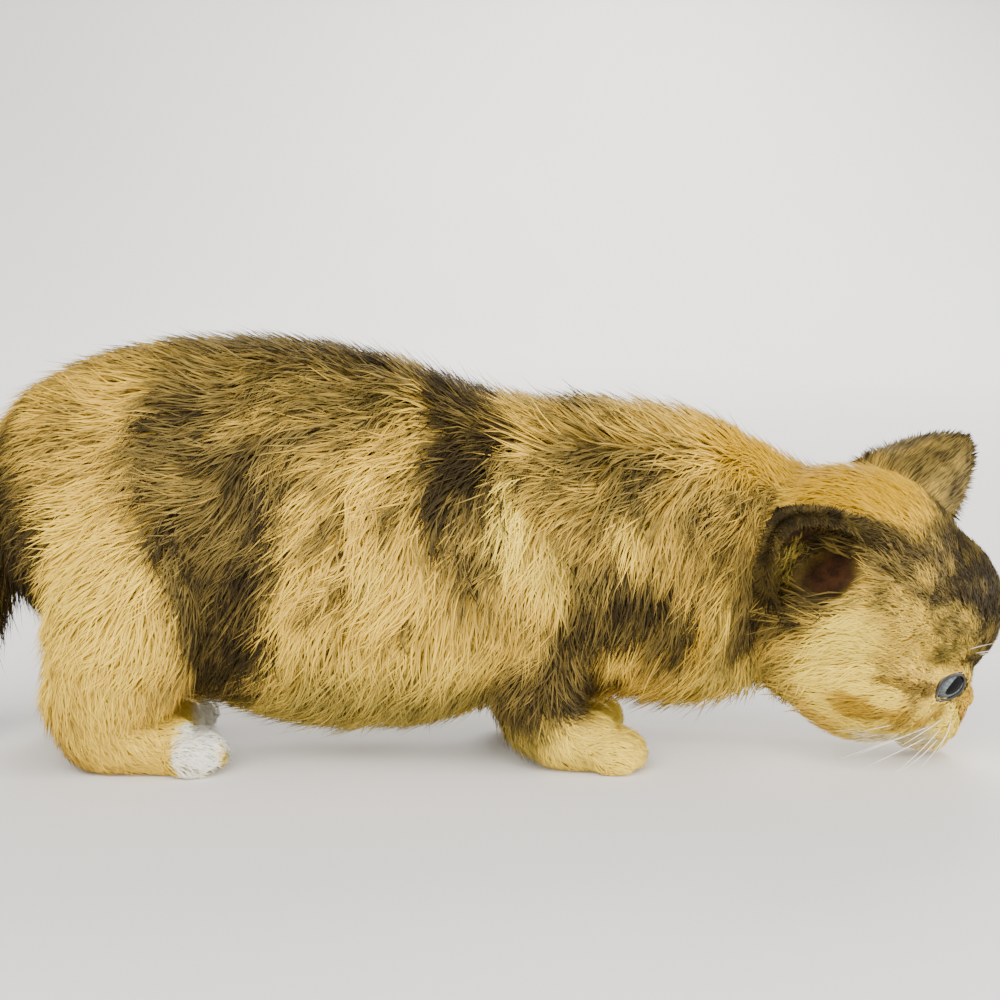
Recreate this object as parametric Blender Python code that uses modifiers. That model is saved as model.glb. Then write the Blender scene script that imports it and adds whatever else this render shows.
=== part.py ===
# A munchkin kitten, about seven weeks old, life size: it stands on four short legs with its back
# arched, its head low and tilted, and its brush of a tail hanging down behind.
# X runs from tail to nose, Y to the kitten's left and Z up. The feet stand on Z = 0.
import math
import random

import bmesh
import bpy
import numpy as np
from mathutils import Euler, Matrix, Vector
from mathutils.bvhtree import BVHTree

MM = 0.001
GAP = 0.3 * MM

# Torso and neck, in mm: along the back, the top of the coat, its underside, and half its width.
TRUNK = (
    (-124, 84, 56, 10),
    (-119, 95, 43, 23),
    (-108, 101, 30, 31),
    (-92, 106.5, 21, 35),
    (-72, 109, 13.5, 37),
    (-48, 107.5, 8, 38.5),
    (-26, 102.5, 7, 38.5),
    (-6, 94.5, 9, 36.5),
    (14, 91, 12.5, 34.5),
    (34, 91, 16, 33),
    (52, 88.5, 17, 31),
    (66, 83, 18.5, 28.5),
    (80, 77, 22, 26),
    (92, 71, 28, 22),
    (104, 60, 36, 14),
)
WIDEST_LEVEL = 0.42
RING_POINTS = 28

# The coat stands this far out of the core that the locks grow from, in mm: this is half its depth.
COAT = 6.0

# Rows of locks on the trunk run round it from tail to head. A lock is a flat tapering leaf with a
# ridge along its top: where each ring stands along it, how wide it is there, and how high its flat
# underside and its ridge stand above the core, as shares of its width and of the coat.
ROW_STEP = 18.0
LOCK_SPACING = 18.0
LOCK_RINGS = (
    (0.0, 0.66, -0.75, -0.05),
    (0.36, 1.0, -0.08, 0.72),
    (0.72, 0.74, 0.55, 1.02),
)
TIP_RISE = 1.1
LOCK_LENGTH = 31
LOCK_WIDTH = 0.92
LOCK_SEED = 11

# The tail's middle line and its half thickness out to the tips of the hair, in mm.
TAIL = (
    (-108, 0, 80, 9),
    (-120, 0, 77, 12.5),
    (-129, 1, 69, 13.5),
    (-135.5, 2, 57, 13.5),
    (-140.5, 3, 44, 12.5),
    (-145, 3, 31, 11),
    (-148.5, 3, 19, 8.5),
    (-151.5, 3, 10, 4.5),
    (-152.5, 3, 6, 1.5),
)

# The ruff behind the jaw, in the frame of the head: how far forward, and the angles round it.
RUFF = (
    (0, (-172, -148, -122, -58, -32, -8)),
    (-11, (-160, -135, -90, -45, -20)),
)

# Rows of locks round the tail stand here along it, from root to tip.
TAIL_ROWS = TAIL[1:6]
TAIL_LOCKS_ROUND = 5

# Length and width of the smaller locks, and where none grows: ahead of the crown, and low down.
TAIL_LOCK = (25, 13)
RUFF_LOCK = (19, 12.5)
FACE_BEHIND = -20
HIND_BARE, FRONT_BARE = 24, 12
BELLY_FROM = -66

# A hind leg from hip to toes and a front leg from shoulder to toes: place and radius, in mm.
HIND_LEG = (
    (-82, -12, 60, 20),
    (-90, -19.5, 45, 22),
    (-96, -22.5, 30, 17),
    (-101.5, -23.5, 18, 11.5),
    (-101, -23.5, 9.5, 9),
    (-91, -23.5, 6.5, 8),
    (-80, -23.5, 5.5, 7.5),
)
FRONT_LEG = (
    (16, -11, 46, 18),
    (10, -17.5, 31, 15),
    (9, -20, 19, 10.5),
    (14, -20.5, 10, 8.5),
    (22, -20.5, 6.5, 7.6),
    (27, -20.5, 6, 7.4),
)
TOE_RADII = (6.2, 3.3, 5.4)
TOE_SPREAD = (-7.6, -2.7, 2.7, 7.6)
TOE_LEAD = (-2.2, 0.6, 0.6, -2.2)
HIND_TOES = (-76, -23.5, 4.6)
FRONT_TOES = (30.5, -20.5, 4.5)
FAR_HIND_BACK = -8
FAR_FRONT_BACK = -4

# The head has its own frame: forward, left and up from the middle of the skull, in mm.
HEAD_PLACE = (95, -10.7, 40.3)
HEAD_PITCH, HEAD_ROLL, HEAD_YAW = 32, 18, 0
HEAD_FORMS = (
    ((-6, 0, 3), (30, 29, 29)),
    ((10, 0, 8.5), (21.5, 22.5, 20)),
    ((5, 14.5, -10), (22, 15, 18)),
    ((5, -14.5, -10), (22, 15, 18)),
    ((20, 11.5, -3), (10, 9, 12)),
    ((20, -11.5, -3), (10, 9, 12)),
    ((20.5, 0, -5), (12.5, 10, 10.5)),
    ((27.5, 5.2, -14.5), (9.8, 8.5, 8)),
    ((27.5, -5.2, -14.5), (9.8, 8.5, 8)),
    ((32.5, 0, -6.5), (6.2, 6.2, 5.6)),
    ((27.5, 0, -20.8), (9.6, 8.8, 7.2)),
    ((12, 0, -17), (20, 17, 13)),
)

# Each ear: middle of its root, the way to its tip, the way its cup opens, height and half width,
# all in the frame of the head, and how far the cup wraps round at its root and at its tip.
# The sizes include the fur on the ear's back and rim, about 3 mm of it.
EARS = {
    "ear_right": ((-20.5, -21.8, 10), (-0.74, -0.48, 0.46), (0.41, -0.89, 0.05), 29, 15.5),
    "ear_left": ((-6.5, 18.5, 21.5), (0.30, 0.6, 0.72), (0.41, 0.83, -0.37), 27, 13.5),
}
EAR_WRAP = (1.45, 0.5)
EAR_THICK = 2.2
EAR_ROOT = 0.24
EAR_ROOM = 17

# The eyeballs, in the frame of the head, and the slant of the opening between the lids.
EYE_RADIUS = 7
EYES = {"eye_right": (21.8, -11.4, -1), "eye_left": (21.8, 11.4, -1)}
EYE_TURN = 42
LID_THICK = 1.1
LID_OPENING = (5.6, 5.0)

# The line of the mouth, from under the nose out to one corner, and the two nostrils.
MOUTH = ((38, 0, -13), (37, 0, -16.5), (36, 4, -18.6), (29.5, 10.4, -19.2), (22, 13, -17), (17, 15, -14.5))
MOUTH_GROOVE = 0.55
NOSTRILS = ((38.2, 2, -9), (38.2, -2, -9))
NOSTRIL_RADII = (1.4, 0.75, 0.6)

SKIN_GRAIN = 1.3 * MM
SMOOTHING = 7
TRUNK_FACES = 1300
LEG_FACES = 3200
HEAD_FACES = 4600

# Where the whole is parted: a point and the way the cut faces, in mm.
NECK_CUT = ((71, 0, 50), (0.97, 0, -0.24))
SHOULDER_CUT = ((44, 0, 50), (1, 0, 0))
HIND_BOX = ((-122, -62), (10, 60), (-8, 44))
FRONT_BOX = ((-9, 43), (9, 60), (-8, 27))
TAIL_BOX = ((-190, -119.5), (-19, 19), (-8, 92))
TAIL_SPLIT = ((-136.5, 2, 56), (-0.4, 0, -0.92))

# Each leg: the box it is parted by, its side (1 on the right) and how far back it is set.
LEGS = {
    "leg_hind_right": (HIND_BOX, 1, 0),
    "leg_hind_left": (HIND_BOX, -1, FAR_HIND_BACK),
    "leg_front_right": (FRONT_BOX, 1, 0),
    "leg_front_left": (FRONT_BOX, -1, FAR_FRONT_BACK),
}

COLOURS = {
    "head": (0.42, 0.30, 0.13),
    "neck": (0.36, 0.25, 0.11),
    "torso": (0.33, 0.24, 0.12),
    "tail": (0.22, 0.17, 0.10),
    "leg_front": (0.36, 0.27, 0.14),
    "leg_hind": (0.55, 0.36, 0.14),
    "ear": (0.10, 0.06, 0.04),
    "eye": (0.16, 0.22, 0.27),
}


def clear_scene():
    for obj in list(bpy.data.objects):
        bpy.data.objects.remove(obj, do_unlink=True)


def new_collection(name):
    made = bpy.data.collections.new(name)
    bpy.context.scene.collection.children.link(made)
    return made


def add_object(name, mesh, collection):
    obj = bpy.data.objects.new(name, mesh)
    collection.objects.link(obj)
    return obj


def remove_object(obj):
    mesh = obj.data
    bpy.data.objects.remove(obj, do_unlink=True)
    if mesh.users == 0:
        bpy.data.meshes.remove(mesh)


def apply_modifiers(obj):
    """Puts the evaluated mesh in the place of the object's own one."""
    graph = bpy.context.evaluated_depsgraph_get()
    mesh = bpy.data.meshes.new_from_object(obj.evaluated_get(graph))
    obj.modifiers.clear()
    obj.data = mesh


def loft(name, rings, collection):
    """A closed form through rings of equal length, with a flat face over each end."""
    bm = bmesh.new()
    loops = [[bm.verts.new(point) for point in ring] for ring in rings]
    count = len(loops[0])
    for first, second in zip(loops, loops[1:]):
        for i in range(count):
            j = (i + 1) % count
            bm.faces.new((first[i], first[j], second[j], second[i]))
    bm.faces.new(loops[0])
    bm.faces.new(loops[-1])
    bmesh.ops.recalc_face_normals(bm, faces=bm.faces)
    mesh = bpy.data.meshes.new(name)
    bm.to_mesh(mesh)
    bm.free()
    return add_object(name, mesh, collection)


def trunk_rings(drop):
    """Rings of the torso and neck, each wider in its lower half, drop mm inside the coat's tips."""
    rings = []
    for x, top, bottom, half_width in TRUNK:
        middle = bottom + WIDEST_LEVEL * (top - bottom)
        inset = min(drop, 0.45 * half_width)
        ring = []
        for i in range(RING_POINTS):
            turn = math.tau * i / RING_POINTS
            reach = (top - middle if math.sin(turn) > 0 else middle - bottom) - inset
            y = (half_width - inset) * math.cos(turn)
            ring.append(Vector((x, y, middle + reach * math.sin(turn))) * MM)
        rings.append(ring)
    return rings


def limb_rings(stations, drop=0.0, sides=16):
    """Round rings square to the line through the stations."""
    places = [Vector(s[:3]) for s in stations]
    rings = []
    for i, place in enumerate(places):
        ahead = places[min(i + 1, len(places) - 1)] - places[max(i - 1, 0)]
        across = Vector((0, 1, 0))
        out = across.cross(ahead).normalized()
        radius = max(stations[i][3] - drop, 0.45 * stations[i][3])
        ring = []
        for k in range(sides):
            turn = math.tau * k / sides
            ring.append((place + radius * (across * math.cos(turn) + out * math.sin(turn))) * MM)
        rings.append(ring)
    return rings


def ellipsoid(centre, radii, frame, collection, segments=24):
    bpy.ops.mesh.primitive_uv_sphere_add(segments=segments, ring_count=segments // 2, radius=1.0)
    obj = bpy.context.active_object
    for owner in list(obj.users_collection):
        owner.objects.unlink(obj)
    collection.objects.link(obj)
    size = Matrix.Diagonal((*(Vector(radii) * MM), 1.0))
    obj.data.transform(frame @ Matrix.Translation(Vector(centre) * MM) @ size)
    return obj


def head_frame():
    """Carries forward, left and up of the head into the kitten's own frame."""
    turn = (
        Matrix.Rotation(math.radians(HEAD_YAW), 4, "Z")
        @ Matrix.Rotation(math.radians(HEAD_PITCH), 4, "Y")
        @ Matrix.Rotation(math.radians(HEAD_ROLL), 4, "X")
    )
    return Matrix.Translation(Vector(HEAD_PLACE) * MM) @ turn


def leg_forms(stations, toes, back, side, drop, collection):
    """One leg with its four toes: side is 1 on the right and -1 on the left."""
    moved = []
    for i, (x, y, z, radius) in enumerate(stations):
        inset = drop * max(0.0, 1 - i / 3)
        moved.append((x + back, y * side, z, radius - inset))
    rings = limb_rings(moved)
    made = [loft("leg", rings, collection)]
    for spread, lead in zip(TOE_SPREAD, TOE_LEAD):
        place = (toes[0] + back + lead, (toes[1] + spread) * side, toes[2])
        made.append(ellipsoid(place, TOE_RADII, Matrix.Identity(4), collection, 16))
    return made


def whole_body(drop, collection):
    """The kitten in one closed skin, before it is parted into its nodes."""
    frame = head_frame()
    forms = [loft("trunk", trunk_rings(drop), collection)]
    forms.append(loft("tail", limb_rings(TAIL, drop), collection))
    for side, hind_back, front_back in ((1, 0, 0), (-1, FAR_HIND_BACK, FAR_FRONT_BACK)):
        forms += leg_forms(HIND_LEG, HIND_TOES, hind_back, side, drop, collection)
        forms += leg_forms(FRONT_LEG, FRONT_TOES, front_back, side, drop, collection)
    forms += [ellipsoid(centre, radii, frame, collection) for centre, radii in HEAD_FORMS]
    bm = bmesh.new()
    for form in forms:
        bm.from_mesh(form.data)
        remove_object(form)
    mesh = bpy.data.meshes.new("whole")
    bm.to_mesh(mesh)
    bm.free()
    whole = add_object("whole", mesh, collection)
    remesh = whole.modifiers.new("skin", "REMESH")
    remesh.mode = "VOXEL"
    remesh.voxel_size = SKIN_GRAIN
    smooth = whole.modifiers.new("smooth", "SMOOTH")
    smooth.factor = 0.5
    smooth.iterations = SMOOTHING
    apply_modifiers(whole)
    return whole


def box_cutter(low, high, collection, frame=None):
    bm = bmesh.new()
    bmesh.ops.create_cube(bm, size=1.0)
    size = [(h - l) * MM for l, h in zip(low, high)]
    middle = Vector([(h + l) / 2 * MM for l, h in zip(low, high)])
    bm.transform(Matrix.Translation(middle) @ Matrix.Diagonal((*size, 1.0)))
    if frame is not None:
        bm.transform(frame)
    mesh = bpy.data.meshes.new("cutter")
    bm.to_mesh(mesh)
    bm.free()
    obj = add_object("cutter", mesh, collection)
    obj.hide_render = True
    obj.display_type = "WIRE"
    return obj


def beyond(cut, shift, collection):
    """A block that fills the side that a cut faces, moved by shift along the cut's way."""
    place, way = Vector(cut[0]) * MM, Vector(cut[1]).normalized()
    turn = way.to_track_quat("Z", "Y").to_matrix().to_4x4()
    frame = Matrix.Translation(place + way * shift) @ turn
    return box_cutter((-150, -150, 0), (150, 150, 300), collection, frame)


def boolean(obj, cutter, operation, solver="MANIFOLD"):
    modifier = obj.modifiers.new(operation, "BOOLEAN")
    modifier.operation = operation
    modifier.solver = solver
    modifier.object = cutter
    apply_modifiers(obj)
    remove_object(cutter)


def copy_of(obj, name, collection):
    return add_object(name, obj.data.copy(), collection)


def decimated(obj, name, faces, collection):
    made = copy_of(obj, name, collection)
    modifier = made.modifiers.new("fewer", "DECIMATE")
    modifier.ratio = faces / (2 * len(obj.data.polygons))
    apply_modifiers(made)
    return made


def grown(box, side, back, gap):
    """The two corners of a leg's box on its side of the body, with a gap added all round."""
    (x0, x1), (y0, y1), (z0, z1) = box
    ys = sorted((-side * y0, -side * y1))
    low = (x0 + back - gap, ys[0] - gap, z0 - gap)
    high = (x1 + back + gap, ys[1] + gap, z1 + gap)
    return low, high


def part_body(body, limbs, fine, collection, helpers):
    """Parts the whole into head, neck, torso, tail and legs with cuts one gap wide."""
    nodes = {}
    nodes["head"] = copy_of(fine, "head", collection)
    boolean(nodes["head"], beyond(NECK_CUT, GAP / 2, helpers), "INTERSECT")
    nodes["neck"] = copy_of(body, "neck", collection)
    boolean(nodes["neck"], beyond(NECK_CUT, -GAP / 2, helpers), "DIFFERENCE")
    boolean(nodes["neck"], beyond(SHOULDER_CUT, GAP / 2, helpers), "INTERSECT")
    nodes["torso"] = copy_of(body, "torso", collection)
    boolean(nodes["torso"], beyond(SHOULDER_CUT, -GAP / 2, helpers), "DIFFERENCE")
    for name, (box, side, back) in LEGS.items():
        nodes[name] = copy_of(limbs, name, collection)
        low, high = grown(box, side, back, 0.0)
        boolean(nodes[name], box_cutter(low, high, helpers), "INTERSECT")
        low, high = grown(box, side, back, GAP / MM)
        boolean(nodes["torso"], box_cutter(low, high, helpers), "DIFFERENCE")
    low, high = zip(*TAIL_BOX)
    nodes["tail_base"] = copy_of(body, "tail_base", collection)
    boolean(nodes["tail_base"], box_cutter(low, high, helpers), "INTERSECT")
    wider = GAP / MM
    low = [v - wider for v in low]
    high = [v + wider for v in high]
    boolean(nodes["torso"], box_cutter(low, high, helpers), "DIFFERENCE")
    nodes["tail_tip"] = copy_of(nodes["tail_base"], "tail_tip", collection)
    boolean(nodes["tail_base"], beyond(TAIL_SPLIT, -GAP / 2, helpers), "DIFFERENCE")
    boolean(nodes["tail_tip"], beyond(TAIL_SPLIT, GAP / 2, helpers), "INTERSECT")
    return nodes


def ear_solid(name, collection):
    """A cup: arcs across the ear that grow narrow and flat up to a rounded tip, made EAR_THICK mm thick."""
    root, tip_way, open_way, height, half = EARS[name]
    up = Vector(tip_way).normalized()
    out = Vector(open_way)
    out = (out - up * out.dot(up)).normalized()
    side = up.cross(out)
    rows, columns = 9, 13
    points = []
    for j in range(rows):
        v = -EAR_ROOT + (0.985 + EAR_ROOT) * math.sin(0.5 * math.pi * j / (rows - 1))
        level = max(v, 0.0)
        width = half * (1 - level) ** 0.66 * (1 + 0.3 * level) * (1 + 0.25 * min(v, 0.0))
        wrap = EAR_WRAP[0] + (EAR_WRAP[1] - EAR_WRAP[0]) * level
        for i in range(columns):
            turn = wrap * (2 * i / (columns - 1) - 1)
            across = width * math.sin(turn) / math.sin(wrap)
            back = width * (math.cos(turn) - math.cos(wrap)) / math.sin(wrap)
            lean = 3.0 * level * level
            points.append(Vector(root) + up * height * v + side * across - out * (back * 0.8 - lean))
    bm = bmesh.new()
    verts = [bm.verts.new(point * MM) for point in points]
    for j in range(rows - 1):
        for i in range(columns - 1):
            a = j * columns + i
            bm.faces.new((verts[a], verts[a + 1], verts[a + columns + 1], verts[a + columns]))
    bm.transform(head_frame())
    mesh = bpy.data.meshes.new(name)
    bm.to_mesh(mesh)
    bm.free()
    ear = add_object(name, mesh, collection)
    thick = ear.modifiers.new("thick", "SOLIDIFY")
    thick.thickness = EAR_THICK * MM
    thick.offset = 0.0
    apply_modifiers(ear)
    return ear


def keep_largest(obj):
    """Keeps only the closed surface with the most room inside it."""
    bm = bmesh.new()
    bm.from_mesh(obj.data)
    left = set(bm.verts)
    bodies = []
    while left:
        stack = [left.pop()]
        body = set(stack)
        while stack:
            for edge in stack.pop().link_edges:
                for vert in edge.verts:
                    if vert in left:
                        left.discard(vert)
                        body.add(vert)
                        stack.append(vert)
        bodies.append(body)
    if len(bodies) > 1:
        sizes = [body_volume(body) for body in bodies]
        best = bodies[sizes.index(max(sizes))]
        bmesh.ops.delete(bm, geom=[v for v in bm.verts if v not in best], context="VERTS")
    bm.to_mesh(obj.data)
    bm.free()


def body_volume(verts):
    total = 0.0
    for face in {face for vert in verts for face in vert.link_faces}:
        corners = [vert.co for vert in face.verts]
        for second, third in zip(corners[1:], corners[2:]):
            total += corners[0].dot(second.cross(third)) / 6
    return abs(total)


def swollen(obj, gap, collection):
    """A copy whose every point has moved outward by gap."""
    made = copy_of(obj, "swollen", collection)
    made.hide_render = True
    made.display_type = "WIRE"
    grow = made.modifiers.new("grow", "DISPLACE")
    grow.strength = gap
    grow.mid_level = 0.0
    apply_modifiers(made)
    return made


def lid_opening(name, side, frame, collection):
    """An almond block that opens the lids in front of an eyeball."""
    turn = Euler((0, 0, side * math.radians(EYE_TURN))).to_matrix().to_4x4()
    slant = Euler((side * math.radians(-12), 0, 0)).to_matrix().to_4x4()
    place = Matrix.Translation(Vector(EYES[name]) * MM)
    rings = []
    for reach in (1.0, 12.0):
        ring = []
        for k in range(20):
            angle = math.tau * k / 20
            across = LID_OPENING[0] * math.cos(angle)
            rise = LID_OPENING[1] * math.sin(angle) * (1 - 0.16 * math.cos(angle) ** 2)
            ring.append(Vector((reach, across, rise)) * MM)
        rings.append(ring)
    obj = loft("opening", rings, collection)
    obj.data.transform(frame @ place @ turn @ slant)
    obj.hide_render = True
    obj.display_type = "WIRE"
    return obj


def tube(name, points, radius, collection, sides=6):
    """A closed tube along points in metres."""
    stations = [(*(p / MM), radius) for p in points]
    places = [Vector(s[:3]) for s in stations]
    rings = []
    for i, place in enumerate(places):
        ahead = (places[min(i + 1, len(places) - 1)] - places[max(i - 1, 0)]).normalized()
        across = ahead.orthogonal().normalized() if i == 0 else (across - ahead * across.dot(ahead))
        across = across.normalized()
        other = ahead.cross(across)
        ring = []
        for k in range(sides):
            turn = math.tau * k / sides
            ring.append((place + radius * (across * math.cos(turn) + other * math.sin(turn))) * MM)
        rings.append(ring)
    obj = loft(name, rings, collection)
    obj.hide_render = True
    obj.display_type = "WIRE"
    return obj


def mouth_grooves(head, frame, collection):
    """The line between the lips, pressed into the muzzle: a stem under the nose and two branches."""
    tree = BVHTree.FromObject(head, bpy.context.evaluated_depsgraph_get())
    made = []
    for side in (1, -1):
        points = []
        for a, b in zip(MOUTH, MOUTH[1:]):
            for t in (0.0, 0.5):
                spot = Vector(a).lerp(Vector(b), t)
                spot.y *= side
                points.append(spot)
        seats = [tree.find_nearest(frame @ (spot * MM))[0] for spot in points]
        made.append(tube("mouth", seats, MOUTH_GROOVE, collection))
    return made


def lie(place):
    """The way the coat lies at a place, in mm: back along the trunk and further down its sides."""
    x, y, z = place
    if x > 84 and z < 46:
        return Vector((-0.85, 0.0, -0.5))
    top, bottom = 100.0, 8.0
    low = min(max((top - z) / (top - bottom), 0.0), 1.0)
    slope = math.radians(4 + 62 * low ** 1.3)
    if x < -100:
        slope = math.radians(35)
    return Vector((-math.cos(slope), 0.0, -math.sin(slope)))


def tail_lie(place):
    """Down the tail, along its middle line."""
    stations = [Vector(s[:3]) for s in TAIL]
    near = min(range(len(stations)), key=lambda i: (stations[i] - place).length)
    first = max(near - 1, 0)
    return (stations[min(first + 2, len(stations) - 1)] - stations[first]).normalized()


def lock(root, way, tree, length, width, rng, collection):
    """One lock: it leaves the core at its root, follows the core's shape along the lie and tapers."""
    place, normal = tree.find_nearest(root)[:2]
    heading = way(place / MM)
    frames = []
    steps = 20
    sway = rng.uniform(-0.35, 0.35)
    for k in range(steps + 1):
        heading = (heading + 0.25 * way(place / MM)).normalized()
        heading = (heading - normal * heading.dot(normal)).normalized()
        side = normal.cross(heading)
        frames.append((place.copy(), normal.copy(), heading.copy(), side.copy()))
        bent = (heading + side * sway * k / steps).normalized()
        place, found = tree.find_nearest(place + bent * (length * MM / steps))[:2]
        normal = (normal + 0.5 * found).normalized()
    if any(near_ear(frame[0]) for frame in frames):
        return None
    rings = []
    for share, breadth, under, ridge in LOCK_RINGS:
        spot, up, ahead, side = frames[round(share * steps)]
        low = spot + up * (under * COAT * MM)
        half = 0.5 * breadth * width * MM
        rings.append([low - side * half, spot + up * (ridge * COAT * MM), low + side * half])
    spot, up = frames[-1][:2]
    tip = spot + up * (TIP_RISE * rng.uniform(0.9, 1.15) * COAT * MM)
    bm = bmesh.new()
    loops = [[bm.verts.new(point) for point in ring] for ring in rings]
    end = bm.verts.new(tip)
    for first, second in zip(loops, loops[1:]):
        for i in range(3):
            j = (i + 1) % 3
            bm.faces.new((first[i], first[j], second[j], second[i]))
    bm.faces.new(loops[0])
    for i in range(3):
        bm.faces.new((loops[-1][i], loops[-1][(i + 1) % 3], end))
    for vert in bm.verts:
        vert.co.z = max(vert.co.z, 1.2 * MM)
    bmesh.ops.triangulate(bm, faces=bm.faces)
    bmesh.ops.recalc_face_normals(bm, faces=bm.faces)
    mesh = bpy.data.meshes.new("lock")
    bm.to_mesh(mesh)
    bm.free()
    return add_object("lock", mesh, collection)


def trunk_locks(tree, rng, collection):
    """Rows round the trunk, each row half a lock off the last; none grows on the lower legs."""
    xs = [row[0] for row in TRUNK]
    x = -116.0
    row = 0
    while x < 96:
        top = np.interp(x, xs, [r[1] for r in TRUNK])
        bottom = np.interp(x, xs, [r[2] for r in TRUNK])
        half = np.interp(x, xs, [r[3] for r in TRUNK])
        middle = bottom + WIDEST_LEVEL * (top - bottom)
        girth = math.pi * (half + 0.5 * (top - bottom)) - 10
        count = max(5, round(girth / LOCK_SPACING))
        for i in range(count):
            turn = math.tau * (i + 0.5 * (row % 2) + rng.uniform(-0.16, 0.16)) / count
            out = Vector((0, math.cos(turn), math.sin(turn)))
            start = Vector((x + rng.uniform(-2, 2), 0, middle)) * MM + out * 0.12
            place = tree.ray_cast(start, -out)[0]
            if place is None or bare(place):
                continue
            length = LOCK_LENGTH * rng.uniform(0.88, 1.12)
            width = LOCK_SPACING * LOCK_WIDTH * rng.uniform(0.94, 1.06)
            lock(place, lie, tree, length, width, rng, collection)
        x += ROW_STEP
        row += 1


def ruff_lie(place):
    """Back and down from the cheeks and the throat."""
    return Vector((-0.72, 0.0, -0.69))


def ruff_locks(tree, rng, collection):
    """A fringe along the back of the jaw, from under one ear round to under the other."""
    frame = head_frame()
    for forward, turns in RUFF:
        for turn in turns:
            angle = math.radians(turn + rng.uniform(-4, 4))
            out = Vector((0, math.cos(angle), math.sin(angle)))
            start = frame @ ((Vector((forward, 0, -4)) + out * 70) * MM)
            place = tree.ray_cast(start, -(frame.to_3x3() @ out))[0]
            if place is not None:
                length = RUFF_LOCK[0] * rng.uniform(0.9, 1.1)
                lock(place, ruff_lie, tree, length, RUFF_LOCK[1], rng, collection)


def on_face(place):
    """True on the face and the crown, where the fur is short."""
    return (head_frame().inverted() @ place).x > FACE_BEHIND * MM


def near_ear(place):
    """True beside an ear, which a lock would run into."""
    local = head_frame().inverted() @ place / MM
    for root, tip_way, open_way, height, half in EARS.values():
        along = Vector(tip_way).normalized()
        reach = min(max((local - Vector(root)).dot(along), 0.0), height)
        if (local - Vector(root) - along * reach).length < EAR_ROOM:
            return True
    return False


def bare(place):
    """True where no lock of the trunk grows: face, lower legs and feet."""
    x, y, z = place / MM
    return on_face(place) or z < (HIND_BARE if x < BELLY_FROM else FRONT_BARE)


def tail_locks(tree, rng, collection):
    for row, (x, y, z, radius) in enumerate(TAIL_ROWS):
        ahead = tail_lie(Vector((x, y, z)))
        across = Vector((0, 1, 0))
        out = across.cross(ahead).normalized()
        for i in range(TAIL_LOCKS_ROUND):
            turn = math.tau * (i + 0.5 * (row % 2) + rng.uniform(-0.12, 0.12)) / TAIL_LOCKS_ROUND
            way = across * math.cos(turn) + out * math.sin(turn)
            start = (Vector((x, y, z)) + way * 40) * MM
            place = tree.ray_cast(start, -way)[0]
            if place is None or (place / MM - Vector((x, y, z))).length > radius + 4:
                continue
            length = TAIL_LOCK[0] * rng.uniform(0.9, 1.1)
            lock(place, tail_lie, tree, length, TAIL_LOCK[1], rng, collection)


def coat(core, collection):
    """All the locks, as separate closed leaves whose roots are sunk in the core."""
    tree = BVHTree.FromObject(core, bpy.context.evaluated_depsgraph_get())
    rng = random.Random(LOCK_SEED)
    trunk_locks(tree, rng, collection)
    tail_locks(tree, rng, collection)
    ruff_locks(tree, rng, collection)


def fuse(obj, collection):
    """Joins every object of the collection to obj and removes them."""
    modifier = obj.modifiers.new("fuse", "BOOLEAN")
    modifier.operation = "UNION"
    modifier.operand_type = "COLLECTION"
    modifier.collection = collection
    modifier.solver = "MANIFOLD"
    apply_modifiers(obj)
    for piece in list(collection.objects):
        remove_object(piece)


def finish_head(nodes, collection, helpers):
    frame = head_frame()
    head = nodes["head"]
    for centre in EYES.values():
        outer = ellipsoid(centre, (EYE_RADIUS + LID_THICK,) * 3, frame, helpers, 20)
        boolean(head, outer, "UNION")
    for name, centre in EYES.items():
        side = 1 if centre[1] > 0 else -1
        inner = ellipsoid(centre, (EYE_RADIUS + GAP / MM,) * 3, frame, helpers, 20)
        boolean(head, inner, "DIFFERENCE")
        boolean(head, lid_opening(name, side, frame, helpers), "DIFFERENCE")
        nodes[name] = ellipsoid(centre, (EYE_RADIUS,) * 3, frame, collection, 16)
        nodes[name].name = name
    for groove in mouth_grooves(head, frame, helpers):
        boolean(head, groove, "DIFFERENCE")
    for place in NOSTRILS:
        boolean(head, ellipsoid(place, NOSTRIL_RADII, frame, helpers, 12), "DIFFERENCE")
    keep_largest(head)


def give_material(name, node):
    kind = next(key for key in COLOURS if name.startswith(key))
    material = bpy.data.materials.new(name)
    material.use_nodes = True
    surface = material.node_tree.nodes["Principled BSDF"]
    surface.inputs["Base Color"].default_value = (*COLOURS[kind], 1.0)
    surface.inputs["Roughness"].default_value = 0.05 if kind == "eye" else 0.9
    node.data.materials.clear()
    node.data.materials.append(material)
    node.data.name = name


def centre_on_origin(nodes):
    """Moves every node so that the middle of the whole box stands over the origin."""
    points = np.array([vert.co for node in nodes for vert in node.data.vertices])
    middle = (points.min(axis=0) + points.max(axis=0)) / 2
    for node in nodes:
        node.data.transform(Matrix.Translation((-middle[0], -middle[1], 0.0)))


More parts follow.
